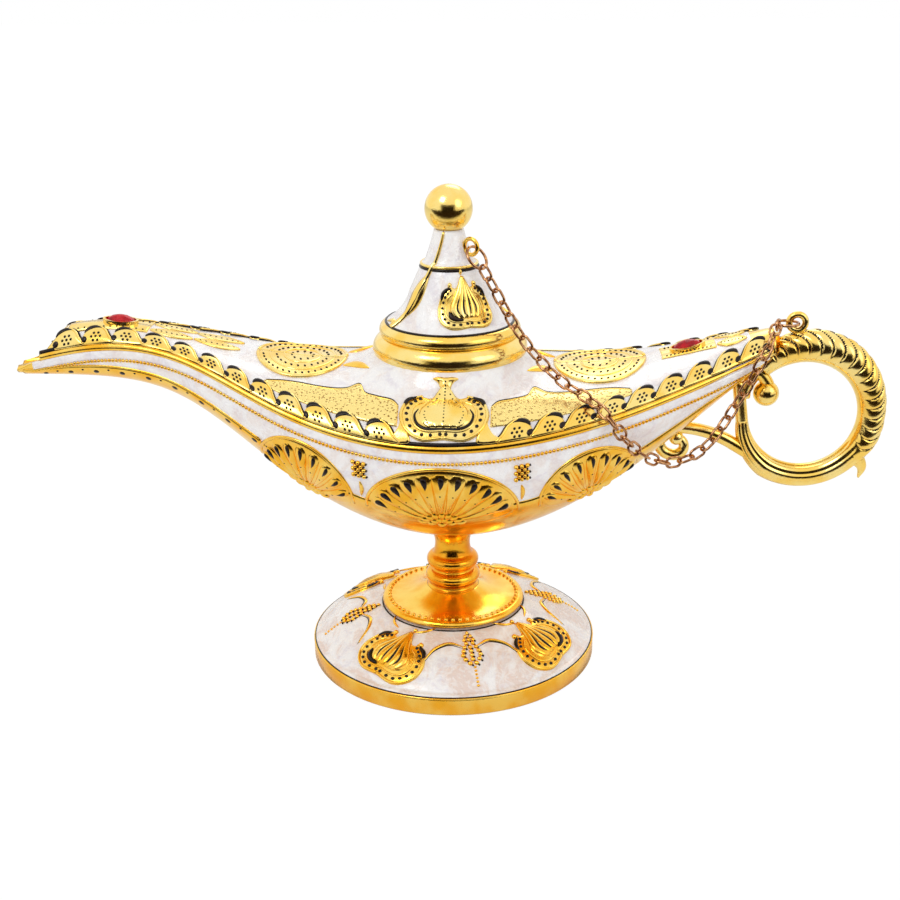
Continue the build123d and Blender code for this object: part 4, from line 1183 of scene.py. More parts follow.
# %% The repeat tree
def repeat_tree():
    """A motif on each point, turned as the point says."""
    tree = bpy.data.node_groups.new("motif_on_points", "GeometryNodeTree")
    face = tree.interface
    face.new_socket("Geometry", in_out="INPUT", socket_type="NodeSocketGeometry")
    face.new_socket("Motif", in_out="INPUT", socket_type="NodeSocketObject")
    face.new_socket("Motif size", in_out="INPUT", socket_type="NodeSocketFloat")
    face.new_socket("Finish", in_out="INPUT", socket_type="NodeSocketMaterial")
    face.new_socket("Geometry", in_out="OUTPUT", socket_type="NodeSocketGeometry")
    new, link = tree.nodes.new, tree.links.new
    start, end = new("NodeGroupInput"), new("NodeGroupOutput")
    motif, copies = new("GeometryNodeObjectInfo"), new("GeometryNodeInstanceOnPoints")
    real, finish = new("GeometryNodeRealizeInstances"), new("GeometryNodeSetMaterial")
    turn, euler = new("GeometryNodeInputNamedAttribute"), new("FunctionNodeEulerToRotation")
    turn.data_type = "FLOAT_VECTOR"
    turn.inputs["Name"].default_value = "turn"
    link(start.outputs["Geometry"], copies.inputs["Points"])
    link(start.outputs["Motif"], motif.inputs["Object"])
    link(motif.outputs["Geometry"], copies.inputs["Instance"])
    link(turn.outputs["Attribute"], euler.inputs["Euler"])
    link(euler.outputs["Rotation"], copies.inputs["Rotation"])
    link(start.outputs["Motif size"], copies.inputs["Scale"])
    link(copies.outputs["Instances"], real.inputs["Geometry"])
    link(real.outputs["Geometry"], finish.inputs["Geometry"])
    link(start.outputs["Finish"], finish.inputs["Material"])
    link(finish.outputs["Geometry"], end.inputs["Geometry"])
    return tree


MOTIF_TREE = repeat_tree()
SOCKETS = {s.name: s.identifier for s in MOTIF_TREE.interface.items_tree if s.in_out == "INPUT"}


def repeated(name, motif, spots, turns, size, finish):
    """Copies of a motif at spots (mm) with Euler turns, as one plain mesh."""
    made = piece(name, spots, [], [finish], tidy=False)
    stored = made.data.attributes.new("turn", "FLOAT_VECTOR", "POINT")
    stored.data.foreach_set("vector", np.asarray(turns, float).ravel())
    nodes = made.modifiers.new("repeat", "NODES")
    nodes.node_group = MOTIF_TREE
    for label, value in (("Motif", motif), ("Motif size", size), ("Finish", finish)):
        nodes[SOCKETS[label]] = value
    baked(made)
    made.data.polygons.foreach_set("use_smooth", [True] * len(made.data.polygons))
    return made


print("repeat tree:", len(MOTIF_TREE.nodes), "nodes, inputs", ", ".join(SOCKETS))

# %% [markdown]
# ## Beaded line under the rim
# A row of tiny gold beads follows the enamel band. An Ico Sphere would do as the motif, but a low ball with
# its own count of sides keeps hundreds of beads small. The beads stand at an even step along the line.

# %% Bead motif and rim beads
BEAD_SIDES, BEAD_RINGS = 10, 6
BEAD_STEP, RIM_BEAD_WAY, RIM_BEAD = 0.92, 2.75, 0.44
NO_TURN = (0.0, 0.0, 0.0)


def ball_motif(name):
    """A low ball of radius 1 mm for beads."""
    sides, rings = BEAD_SIDES, BEAD_RINGS
    points = [(0, 0, 1.0)]
    for k in range(1, rings):
        r, z = sin(pi * k / rings), cos(pi * k / rings)
        points += [(r * cos(2 * pi * s / sides), r * sin(2 * pi * s / sides), z) for s in range(sides)]
    points.append((0, 0, -1.0))
    last = len(points) - 1
    faces = []
    for s in range(sides):
        n = (s + 1) % sides
        faces.append((0, 1 + s, 1 + n))
        for k in range(rings - 2):
            a = 1 + k * sides
            faces.append((a + s, a + sides + s, a + sides + n, a + n))
        a = 1 + (rings - 2) * sides
        faces.append((a + s, last, a + n))
    return piece(name, points, faces, [gold])


bead_motif = ball_motif("bead_motif")
line_x = np.linspace(-101.0, 74.0, 700)
line = bowl_place(line_x, np.full_like(line_x, RIM_BEAD_WAY))
run = running_length(line)
wanted = np.arange(0, run[-1], BEAD_STEP)
spots = np.column_stack([np.interp(wanted, run, line[:, k]) for k in range(3)])
spots = np.concatenate([spots, spots * (1, -1, 1)])
rim_beads = repeated("rim_beads", bead_motif, spots, [NO_TURN] * len(spots), RIM_BEAD, amber)
dress(rim_beads, "lamp_body", "gold_plate")
print("beads under the rim:", len(spots))

# %% [markdown]
# ## Foot
# The foot is an open dish: an enamel cone with a gold rim, hollow from below. It could be a Screw modifier on
# a curve, but the finish changes along the profile, and a zone function can say so in one line: enamel on
# the outside above the rim, gold below and inside.

# %% Foot dish
FOOT_RADIUS, FOOT_RIM, FOOT_EDGE = 35.7, 3.4, 1.6
LAND_RADIUS, LAND = 15.6, 13.2
SHOULDER = (FOOT_RADIUS - FOOT_EDGE, FOOT_RIM + FOOT_EDGE)
SWELL, FOOT_WALL, FOOT_BREAK = 1.3, 1.8, 0.3
BOLT_HOLE = 2.2
cone_middle = ((SHOULDER[0] + LAND_RADIUS) / 2 + SWELL, (SHOULDER[1] + LAND) / 2 + SWELL)
cone = bow(SHOULDER, cone_middle, (LAND_RADIUS, LAND), 40)
under = [(r - FOOT_WALL, z - FOOT_WALL) for r, z in cone][::-1]
edge = bow((FOOT_RADIUS, FOOT_RIM), (FOOT_RADIUS - 0.35, FOOT_RIM + 1.15), SHOULDER, 8)
foot_profile = [(FOOT_RADIUS - FOOT_WALL, 0.0), (FOOT_RADIUS - FOOT_BREAK, 0.0), (FOOT_RADIUS, FOOT_BREAK)]
foot_profile += edge + cone[1:] + [(BOLT_HOLE, LAND), (BOLT_HOLE, LAND - FOOT_WALL)] + under[:-1]


def foot_zone(radius, height):
    """Enamel on the cone and the upper part of its rounded edge, gold below and inside."""
    outer = np.interp(radius, [p[0] for p in cone[::-1]], [p[1] for p in cone[::-1]])
    return 0 if height > max(FOOT_RIM + 0.1, outer - FOOT_WALL / 2) else 1


foot = turned("foot_shell", foot_profile, [blush_enamel, amber], foot_zone)
dress(foot, "lamp_body", "pearl_enamel", "foot_dish")
print("foot:", len(foot_profile), "points in its profile")

# %% [markdown]
# ## Skirt and stem
# A domed collar with a row of beads stands on the foot, and a baluster stem on the collar. A bolt clamps
# them, so both have its hole. They are profiles of a few arcs, as a turner would cut them, which keeps each
# swell and hollow round where a hand-drawn curve would wobble.

# %% Skirt collar, stem and the skirt's beads
SKIRT_RADIUS, SKIRT_TOP, SKIRT_EDGE = 17.9, 17.5, 13.6
SKIRT_BELL, SKIRT_SEAT, STEM_FOOT = (16.6, SKIRT_EDGE + 1.3), 14.6, (6.6, SKIRT_TOP)
skirt_start, skirt_round = (SKIRT_RADIUS, SKIRT_EDGE + 0.25), (SKIRT_RADIUS - 0.3, SKIRT_EDGE + 0.95)
skirt_profile = [(BOLT_HOLE, LAND), (SKIRT_SEAT, LAND), (SKIRT_SEAT, SKIRT_EDGE)]
skirt_profile += [(SKIRT_RADIUS - 0.25, SKIRT_EDGE)] + bow(skirt_start, skirt_round, SKIRT_BELL, 8)
skirt_profile += bow(SKIRT_BELL, (10.9, 15.5), STEM_FOOT, 20)[1:] + [(BOLT_HOLE, SKIRT_TOP)]
dress(turned("skirt_shell", skirt_profile, [amber]), "lamp_body", "gold_plate", "skirt_collar")

STEM_TOP = 33.5
STEM_LEVELS = [SKIRT_TOP + rise for rise in (0.8, 1.6, 2.4, 4.2, 5.2, 7.0, 8.6, 10.8)]
foot_hollow, foot_top, ring, ring_top, ball_foot, ball, ball_top, waist = STEM_LEVELS
stem_profile = [(BOLT_HOLE, SKIRT_TOP)]
stem_profile += bow(STEM_FOOT, (5.9, foot_hollow), (6.37, foot_top), 8)
stem_profile += bow((6.37, foot_top), (6.8, ring), (5.0, ring_top), 12)[1:]
stem_profile += bow((5.0, ball_foot), (6.5, ball), (5.0, ball_top), 14)
stem_profile += bow((5.0, ball_top), (4.4, waist), (6.2, STEM_TOP), 18)[1:] + [(BOLT_HOLE, STEM_TOP)]
dress(turned("stem_turning", stem_profile, [bronze]), "lamp_body", "gold_plate", "stem")

SKIRT_BEADS, SKIRT_BEAD, BEAD_CIRCLE, BEAD_LEVEL = 58, 0.52, 16.1, 14.92
turns = np.linspace(0, 2 * pi, SKIRT_BEADS, endpoint=False)
spots = BEAD_CIRCLE * np.column_stack([np.cos(turns), np.sin(turns), 0 * turns]) + (0, 0, BEAD_LEVEL)
skirt_beads = repeated("skirt_beads", bead_motif, spots, [NO_TURN] * len(spots), SKIRT_BEAD, amber)
dress(skirt_beads, "lamp_body", "gold_plate")
print("skirt with", SKIRT_BEADS, "beads, stem with", len(stem_profile), "points in its profile")

# %% [markdown]
# ## Foot ornament
# Four palmettes stand on the cone with their tips towards the skirt, and between them hang drops of gold
# beads with a vine to each side. A flat picture wrapped round a cone would shear. `Relief` lays the drawing
# as on the deck, and only the place function changes: it reads a turned surface by the way round it and the
# way along its profile.

# %% Foot relief
MID_RADIUS = 26.0
QUARTER = MID_RADIUS * pi / 2
FOOT_TURN = MID_RADIUS * radians(13.0)
PALMETTE_TILT = 12
DROP_ROWS = (
    (3.6, 0.0), (4.8, 0.8), (6.0, 1.3), (7.2, 0.9), (8.4, 1.5),
    (9.6, 1.9), (10.8, 2.1), (12.0, 1.6), (13.1, 0.7),
)
THREE_BEADS_FROM = 1.2
VINE = np.array([(1.8, 8.0), (5.6, 6.9), (9.4, 9.0), (11.6, 13.6)])
SPRAY = np.array([(3.0, 4.6), (6.8, 3.4), (9.6, 1.4)])
cone_line = np.array(cone[::-1] + edge[::-1][1:])


def round_place(line, middle_radius):
    """Places on a turned surface: mm round it, at its middle radius from the front, and mm along it."""
    run = running_length(line)

    def read(across, way):
        radius, height = np.interp(way, run, line[:, 0]), np.interp(way, run, line[:, 1])
        turn = across / middle_radius
        return np.column_stack([radius * np.sin(turn), -radius * np.cos(turn), height])

    return read


def off_foot(spot):
    """Upwards, and a little away from the axis."""
    return np.column_stack([spot[:, 0] * 0.02, spot[:, 1] * 0.02, np.ones(len(spot))])


def bead_drop(relief, drop):
    """A hanging drop of beads with dark gaps of painted shade, and a thread of small beads below it."""
    for way, half in DROP_ROWS:
        for side in ((-1, 0, 1) if half > THREE_BEADS_FROM else (-1, 1)):
            relief.bead((drop + side * half, way), 0.62, height=0.6, sides=7)
            # a small dark bead of painted shade beside each bead
            relief.bead((drop + side * half + 0.5, way + 0.6), 0.24, STAIN_AND_SHADE, 0.5, sides=6)
    for way in np.arange(14.2, 19.6, 0.95):
        relief.bead((drop + 0.2, way), 0.34, height=0.35, sides=6)


foot_relief = Relief()
for k in range(4):
    bulb, drop = FOOT_TURN + (k + 0.5) * QUARTER, FOOT_TURN + k * QUARTER
    side = 1 if k % 2 else -1
    palmette(foot_relief, (bulb, 19.6), 1.0, 180 + side * PALMETTE_TILT, shade=-side, wide=0.9)
    bead_drop(foot_relief, drop)
    for flip in (-1, 1):
        vine = curve(VINE * (flip, 1) + (drop, 0), 40)
        foot_relief.wire(vine, 0.42, taper=True)
        # a dark line of painted shade beside the vine
        foot_relief.wire(vine + (0, 0.62), 0.16, STAIN_AND_SHADE, sides=6, taper=True)
        foot_relief.wire(curve(SPRAY * (flip, 1) + (bulb, 0), 24), 0.4, taper=True)
round_x = np.linspace(-pi * MID_RADIUS, pi * MID_RADIUS, 241)
cone_length = running_length(cone_line)[-1]
foot_relief.wire(level_line(round_x, cone_length - 0.9), 0.22)
foot_relief.wire(level_line(round_x, cone_length - 1.25), 0.14, STAIN_AND_SHADE, sides=6)
# a dark line of painted shadow under the skirt's edge
foot_relief.wire(level_line(round_x, 2.35), 0.22, STAIN_AND_SHADE, sides=6)
foot_place = round_place(cone_line, MID_RADIUS)
foot_ornament = foot_relief.laid("foot_ornament", foot_place, [amber, stain_and_shade], off_foot)
dress(foot_ornament, "lamp_body", "gold_plate")
print("foot ornament:", len(foot_relief.faces), "faces")

# %% [markdown]
# ## Mouth collar
# The collar is a polished ring in the mouth, and the lid's plug drops into its bore. A torus would be too
# round: the real ring has a flat seat, a swelling side and a spigot that enters the deck.

# %% Mouth collar
SEAT = 83.2
COLLAR_BORE, COLLAR_SPIGOT, COLLAR_BREAK = 13.5, 14.9, 0.25
COLLAR_FOOT, SPIGOT_FOOT = SEAT - 5.6, SEAT - 8.0
collar_profile = [(COLLAR_BORE, SPIGOT_FOOT), (COLLAR_BORE, SEAT - COLLAR_BREAK)]
collar_profile += [(COLLAR_BORE + COLLAR_BREAK, SEAT), (16.35, SEAT)]
collar_profile += bow((16.6, SEAT - 0.2), (18.4, SEAT - 2.6), (17.2, COLLAR_FOOT), 16)
collar_profile += [(COLLAR_SPIGOT, COLLAR_FOOT), (COLLAR_SPIGOT, SPIGOT_FOOT)]
dress(turned("mouth_ring", collar_profile, [gold]), "lamp_body", "gold_plate", "mouth_collar")
print("mouth collar: bore", 2 * COLLAR_BORE, "mm")

# %% [markdown]
# ## Lid
# The lid is a hollow cone of enamel with a gold bead at its base, a ledge below its neck and a plug that
# enters the collar. It is one profile again, inside and out, so that the wall shows as a real one when the
# lid is lifted.

# %% Lid
LID_TOP = SEAT + 24.8
LID_BEAD, LID_WAIST, LID_LEDGE = (15.4, SEAT + 3.0), (9.4, SEAT + 10.6), (6.4, SEAT + 17.2)
PLUG, LID_INNER, PLUG_FOOT = 13.15, 11.85, SEAT - 4.5
PEG_HOLE, PEG_FOOT, VENT, CEILING = 1.65, LID_TOP - 4.0, 0.6, SEAT + 15.9
INNER_FOOT, INNER_WAIST = SEAT + 1.7, (7.7, SEAT + 9.3)
lid_bead = bow((16.4, SEAT + 0.05), (16.8, SEAT + 1.35), LID_BEAD, 12)
lid_sweep = bow(LID_BEAD, (11.7, SEAT + 6.1), LID_WAIST, 20)
lid_cone = [LID_WAIST, (8.35, SEAT + 12.9), (7.4, SEAT + 15.0), LID_LEDGE]
lid_neck = bow((5.8, SEAT + 17.5), (4.55, SEAT + 21.05), (3.5, LID_TOP), 10)
lid_profile = [(PLUG, PLUG_FOOT), (PLUG, SEAT)] + lid_bead + lid_sweep[1:] + lid_cone[1:] + lid_neck
lid_profile += [(PEG_HOLE, LID_TOP), (PEG_HOLE, PEG_FOOT), (VENT, PEG_FOOT), (VENT, CEILING), (3.0, CEILING)]
lid_profile += [INNER_WAIST, (LID_INNER, INNER_FOOT), (LID_INNER, PLUG_FOOT)]


def lid_zone(radius, height):
    """Gold at the bead and plug, and inside; enamel on the cone and the neck."""
    levels = [SEAT - 5, INNER_FOOT, INNER_WAIST[1], SEAT + 16]
    inside = radius < np.interp(height, levels, [12.3, 12.3, 8.1, 3.2])
    return 1 if height < SEAT + 3.0 or (inside and height < SEAT + 16.2) else 0


lid = turned("lid_cone", lid_profile, [enamel, gold], lid_zone)
dress(lid, "lid", "pearl_enamel", "lid_shell")
print("lid:", len(lid_profile), "points in its profile")

# %% [markdown]
# ## Knob
# A ball on a peg tops the lid, sunk a little into the neck. A UV Sphere joined to a cylinder would overlap
# inside, so ball and peg are one turned profile.

# %% Knob
KNOB_RADIUS, KNOB_SINK, PEG_RADIUS, PEG_LENGTH = 5.6, 0.9, 1.6, 3.9
knob_centre = LID_TOP + KNOB_RADIUS - KNOB_SINK
knob_turns = np.linspace(np.arcsin(-(KNOB_RADIUS - KNOB_SINK) / KNOB_RADIUS), pi / 2, 40)
knob_profile = [(0, LID_TOP - PEG_LENGTH), (PEG_RADIUS, LID_TOP - PEG_LENGTH), (PEG_RADIUS, LID_TOP)]
for turn in knob_turns:
    knob_profile.append((max(KNOB_RADIUS * cos(turn), 0.0), knob_centre + KNOB_RADIUS * sin(turn)))
dress(turned("knob_ball", knob_profile, [gold]), "lid", "gold_plate", "lid_knob")
print("knob: top at %.1f mm" % knob_profile[-1][1])

# %% [markdown]
# ## Lid ornament
# Two palmettes stand on the cone with two slanting leaf ribs between them, and wires mark the ledge and the
# base. The ribs run on over the ledge and up the neck, so the line that carries the drawing does too.

# %% Lid relief
LID_MIDDLE = 11.0
LID_TURN, RIB_TURN = LID_MIDDLE * radians(24.0), LID_MIDDLE * radians(-62.0)
LEAF_STRETCH = slice(8, 32)
lid_line = np.array(lid_sweep + lid_cone[1:] + lid_neck)
lid_run = running_length(lid_line)
LEDGE_WAY = lid_run[len(lid_sweep) + len(lid_cone) - 2]
RIB_PATH = np.array([(0, 0.2), (1.4, 6.0), (3.4, 12.0), (5.6, LEDGE_WAY), (9.0, lid_run[-1])])
RIB_CURL = np.array([(0, 0.2), (-1.4, 1.9), (-3.6, 0.8)])


def off_lid(spot):
    """Away from the axis, and upwards."""
    return np.column_stack([spot[:, 0], spot[:, 1], np.full(len(spot), 3.0)])


lid_relief = Relief()
for half_turn in (0, LID_MIDDLE * pi):
    palmette(lid_relief, (half_turn + LID_TURN, 1.6), 0.9, wide=0.82)
    start = (half_turn + RIB_TURN, 0)
    rib = curve(RIB_PATH + start, 48)
    lid_relief.wire(rib, 0.8, flatten=0.8)
    swell = rib[LEAF_STRETCH]
    lid_relief.wire(swell, 2.1, taper=True, flatten=0.5)
    # a dark line of painted shade beside the swell
    lid_relief.wire(swell + (0.9, 0.1), 0.3, STAIN_AND_SHADE, sides=6, taper=True, base=0.6)
    lid_relief.wire(curve(RIB_CURL + start, 20), 0.55, taper=True)
round_x = np.linspace(-pi * LID_MIDDLE, pi * LID_MIDDLE, 145)
lid_relief.wire(level_line(round_x, LEDGE_WAY - 0.35), 0.36)
# a dark line of painted shade under the ledge's wire
lid_relief.wire(level_line(round_x, LEDGE_WAY - 1.0), 0.36, STAIN_AND_SHADE, sides=6, flatten=0.7)
lid_relief.wire(level_line(round_x, 0.25), 0.36, STAIN_AND_SHADE, flatten=0.6)
lid_ornament = lid_relief.laid("lid_ornament", round_place(lid_line, LID_MIDDLE), [gold, stain_and_shade], off_lid)
dress(lid_ornament, "lid", "gold_plate")
print("lid ornament:", len(lid_relief.faces), "faces")

# %% [markdown]
# ## Handle loop
# The loop swells over its crown and thins towards its end. A bevelled curve could give the band, but not its
# carving. Swept as rings of points, the carving is part of the sweep: slanting leaves on the outside of the
# arm, and grooves along the rest of the band. Deep grooves are stained, and the stain paints their shade.

# %% The loop with its carving
LOOP = np.array([84.3, 63.5])
FINGER_RADIUS = 12.9
LOOP_TURNS = [132, 112, 84, 56, 28, 0, -22, -46, -70, -96, -122, -148, -172]
LOOP_RADII = [2.9, 3.4, 3.9, 3.9, 3.55, 3.2, 3.2, 2.85, 2.85, 2.85, 2.85, 2.175, 1.5]
LOOP_STEPS, LOOP_SIDES = 480, 56
LEAVES, LEAF_SPAN, LEAF_SLANT = 19, 176, 4.2
GROOVES, STAIN_AND_SHADE_DEPTH = 8, 0.5


def rings_mesh(rings):
    """Points and faces that join rings of points in order, closed by an end cap each."""
    count, sides = len(rings), len(rings[0])
    return np.concatenate(rings), tube_faces(count, sides) + end_caps(count, sides)


def loop_rings():
    """Rings of the loop, and the depth of the carving at each of their points."""
    rings, depths = [], []
    around = np.linspace(0, 2 * pi, LOOP_SIDES, endpoint=False)
    outer = np.clip(1.2 * np.cos(around) + 0.8, 0, 1)
    band_share = (around / (2 * pi) * GROOVES) % 1
    for turn in np.linspace(LOOP_TURNS[0], LOOP_TURNS[-1], LOOP_STEPS):
        radius = np.interp(-turn, [-t for t in LOOP_TURNS], LOOP_RADII)
        arm = np.clip((turn + 40) / 14, 0, 1) * np.clip((128 - turn) / 8, 0, 1)
        leaf_share = (turn / LEAF_SPAN * LEAVES * pi + np.abs(np.sin(around)) * LEAF_SLANT) % pi
        groove = arm * outer * np.exp(-((leaf_share - 0.4) / 0.26) ** 2)
        carve = 0.12 * arm * outer * np.sin(leaf_share) - 0.3 * groove
        ridge = -0.22 * (1 - arm) * np.exp(-((band_share - 0.5) / 0.14) ** 2)
        size = radius * (1 + 0.5 * carve + 0.55 * ridge)
        reach = FINGER_RADIUS + radius + size * np.cos(around)
        x = LOOP[0] + reach * cos(radians(turn))
        z = LOOP[1] + reach * sin(radians(turn))
        rings.append(np.column_stack([x, size * np.sin(around), z]))
        depths.append(groove)
    return rings, np.array(depths)


loop, groove_depth = loop_rings()
print("loop:", len(loop), "rings of", LOOP_SIDES, "points")

# %% [markdown]
# ## Scroll, terminal, spike, and the whole casting
# A scroll bracket ties the loop to the bowl, the loop's end bends over into a ball terminal, and a thumb
# spike hangs at the back. They are tubes round lines in the middle plane, with a radius for each point,
# and balls. A Boolean union would cost the even rings, so the parts just overlap inside one mesh.

# %% Tubes and balls of the handle
BAND_RADIUS, LIMB_RADIUS = 2.85, 1.5
TERMINAL, TERMINAL_BALL, SCROLL_BALL = LOOP + np.array([-9.0, 5.0]), 3.1, 1.8
SCROLL_TURN, SCROLL_SLOPE = 221.0, 31
SCROLL_LEAD, SCROLL_BENDS = (6.0, 8), ((26.0, 31, 16), (3.55, 190, 34), (2.2, 160, 30))
SPIKE_TURN, SPIKE_PATH = -38, np.array([(0, 0), (2.6, -3.6), (2.17, -6.65)])


def tube_rings(path, radii, sides=20):
    """Rings round a path in the lamp's middle plane."""
    path = np.asarray(path, float)
    way = np.gradient(path, axis=0)
    way /= np.linalg.norm(way, axis=1)[:, None]
    around = np.linspace(0, 2 * pi, sides, endpoint=False)
    rings = []
    for (x, z), (wx, wz), radius in zip(path, way, radii):
        out, side = np.cos(around) * radius, np.sin(around) * radius
        rings.append(np.column_stack([x - wz * out, side, z + wx * out]))
    return rings


def tube(path, start, end):
    """A tube whose radius runs from start to end."""
    return rings_mesh(tube_rings(path, np.linspace(start, end, len(path))))


def ball_mesh(centre, radius, sides=28, rings=18):
    around = np.linspace(0, 2 * pi, sides, endpoint=False)
    circle_line = np.column_stack([np.cos(around), np.sin(around), 0 * around])
    middle = np.array([centre[0], 0.0, centre[1]])
    turns = np.linspace(0.02, pi - 0.02, rings)
    return rings_mesh([middle + radius * (circle_line * sin(t) + (0, 0, cos(t))) for t in turns])


def joined(parts):
    """Several meshes as one list of points and faces."""
    points, faces = [], []
    for more, sides in parts:
        start = sum(len(p) for p in points)
        points.append(more)
        faces += [tuple(start + i for i in f) for f in sides]
    return np.concatenate(points), faces


def loop_point(turn, reach):
    """A point of the middle plane, by its turn and its reach from the loop's centre."""
    return LOOP + np.array([cos(radians(turn)), sin(radians(turn))]) * reach


def scroll_path():
    """Straight lead, a long sweep and two tightening turns, as the bracket is bent."""
    heading = pi - radians(SCROLL_SLOPE)
    path = [loop_point(SCROLL_TURN, FINGER_RADIUS + BAND_RADIUS)]
    stretches = [(SCROLL_LEAD[0], 0.0, SCROLL_LEAD[1])]
    stretches += [(radius * radians(angle), 1 / radius, steps) for radius, angle, steps in SCROLL_BENDS]
    for length, bend, steps in stretches:
        for _ in range(steps):
            heading += bend * length / steps
            path.append(path[-1] + np.array([cos(heading), sin(heading)]) * length / steps)
    return np.array(path)


scroll = scroll_path()
scroll_size = np.interp(np.arange(len(scroll)), [0, 20, 50, len(scroll) - 1], [1.7, 1.5, 1.45, 1.15])
limb_turn = radians(LOOP_TURNS[-1])
limb_root = loop_point(LOOP_TURNS[-1], FINGER_RADIUS + LIMB_RADIUS)
limb_way = np.array([sin(limb_turn), -cos(limb_turn)])
limb = np.array([limb_root + limb_way * s for s in np.linspace(-0.5, 10.0, 14)])
neck_path = curve([
    limb_root + (0.2, 6.0),
    limb_root + (0.6, 8.6),
    LOOP + (-11.2, 10.0),
    TERMINAL + (0.2, 2.4),
    TERMINAL,
], 30)
spike = curve(loop_point(SPIKE_TURN, FINGER_RADIUS + BAND_RADIUS) + SPIKE_PATH, 20)
handle_points, handle_faces = joined([
    rings_mesh(loop),
    tube(limb, LIMB_RADIUS, LIMB_RADIUS),
    rings_mesh(tube_rings(scroll, scroll_size)),
    ball_mesh(scroll[-1], SCROLL_BALL),
    tube(neck_path, 1.4, 1.6),
    ball_mesh(TERMINAL, TERMINAL_BALL),
    tube(spike, 2.3, 0.25),
])
# deep grooves take the stain with painted shade
deep = (groove_depth[:-1] + groove_depth[1:]) / 2 > STAIN_AND_SHADE_DEPTH
handle_marks = np.zeros(len(handle_faces), int)
handle_marks[: deep.size] = deep.ravel()
handle = piece("handle_casting", handle_points, handle_faces, [gold, stain_and_shade], handle_marks)
dress(handle, "lamp_body", "gold_plate", "handle")
print("handle:", len(handle_faces), "faces,", int(handle_marks.sum()), "of them stained")

# %% [markdown]
# ## Chain
# The keeper chain is cable chain: oval links of round wire, each turned a quarter on the last. Rigid-body
# tools could hang one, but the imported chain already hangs, and its links move with the lid. Each packed link
# tells where it is: its middle, its long way and its flat side, which are the axes of its cloud of points. A
# smooth link is put on each place by the repeat tree, one mesh for each stretch that moves as one.

# %% The link motif
WIRE, LINK_HALF, LINK_PITCH, LINK_OVERLAP = 0.31, 1.19, 3.1, 0.37


def ring_mesh(path, radius, sides=10):
    """A closed wire along a closed path of 3-D points."""
    path = np.asarray(path, float)
    way = np.roll(path, -1, 0) - np.roll(path, 1, 0)
    way /= np.linalg.norm(way, axis=1)[:, None]
    normal = np.cross(path[1] - path[0], path[len(path) // 3] - path[0])
    normal /= np.linalg.norm(normal)
    side = np.cross(way, normal)
    turns = np.linspace(0, 2 * pi, sides, endpoint=False)
    out, up = np.cos(turns) * radius, np.sin(turns) * radius
    rings = [p + np.outer(out, s) + np.outer(up, normal) for p, s in zip(path, side)]
    return np.concatenate(rings), tube_faces(len(path), sides, closed=True)


def link_path():
    """The middle line of an oval link."""
    straight = LINK_PITCH / 2 + LINK_OVERLAP - LINK_HALF
    bend = [(straight + LINK_HALF * cos(t), LINK_HALF * sin(t), 0) for t in np.linspace(-pi / 2, pi / 2, 10)]
    return bend + [(-x, -y, 0) for x, y, _ in bend]


link_motif = piece("link_motif", *ring_mesh(link_path(), WIRE, 8), [rose])
print("link motif:", len(link_motif.data.polygons), "faces")

# %% [markdown]
# ## Links on their places
# A stretch of packed chain is one mesh of loose triangles with several links in it. Separating by loose
# parts would need an operator for each, so its doubles are merged in a copy and each link is walked from
# corner to corner. The main axes of its points then give the turn of the motif.

# %% Placing the links
LINK_MERGE = 1e-6


def link_places(node):
    """Middle, long way and flat side of each link in a packed stretch of chain."""
    work = bmesh.new()
    work.from_mesh(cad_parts[node].data)
    bmesh.ops.remove_doubles(work, verts=work.verts, dist=LINK_MERGE)
    left, places = set(work.verts), []
    while left:
        grow, group = [left.pop()], []
        while grow:
            vert = grow.pop()
            group.append(vert.co[:])
            for edge in vert.link_edges:
                other = edge.other_vert(vert)
                if other in left:
                    left.remove(other)
                    grow.append(other)
        cloud = np.array(group) / MM
        middle = cloud.mean(axis=0)
        _, _, ways = np.linalg.svd(cloud - middle)
        places.append((middle, ways))
    work.free()
    return places


def way_turn(ways):
    """Euler turn that lays the motif's X on the long way and its Z on the flat side."""
    x, z = Vector(ways[0]), Vector(ways[2])
    y = z.cross(x)
    return Matrix((x, y, z)).transposed().to_euler()[:]


chain_nodes = [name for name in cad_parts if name.startswith("chain_")]
link_total = 0
for node in chain_nodes:
    places = link_places(node)
    link_total += len(places)
    middles, turns = [p[0] for p in places], [way_turn(p[1]) for p in places]
    links = repeated(node.replace("chain", "links"), link_motif, middles, turns, 1.0, rose)
    dress(links, node, "chain_metal", node)
for motif in (bead_motif, link_motif):
    bpy.data.objects.remove(motif)
print("chain:", link_total, "links in", len(chain_nodes), "stretches")

# %% [markdown]
# ## Rings and eyes
# A jump ring at each end ties the chain to an eye on the lid's neck and to one on the crown of the handle.
# The Torus operator would do for one ring, but these lean, so each is a wire round a circle with its own
# normal. A ring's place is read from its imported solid, and the eyes stand on the lid and on the loop.

# %% Jump rings and eyes
RING_WIRE, RING_RADII = 0.35, {"handle_ring": 2.6, "lid_ring": 2.9}
LID_EYE_REACH, LID_EYE_TURN, LID_EYE_RISE, LID_EYE_RADIUS, LID_EYE_WIRE = 6.4, radians(-35), 21.3, 1.85, 0.5
EYE_TURN, EYE_RADIUS, EYE_WIRE = 98.0, 1.9, 0.8
CROWN_RADIUS = 3.9


def circle(centre, normal, radius, count=40):
    """Points of a circle in space."""
    normal = Vector(normal).normalized()
    first = normal.orthogonal().normalized()
    second = normal.cross(first)
    turns = np.linspace(0, 2 * pi, count, endpoint=False)
    return [np.array(Vector(centre) + first * radius * cos(t) + second * radius * sin(t)) for t in turns]


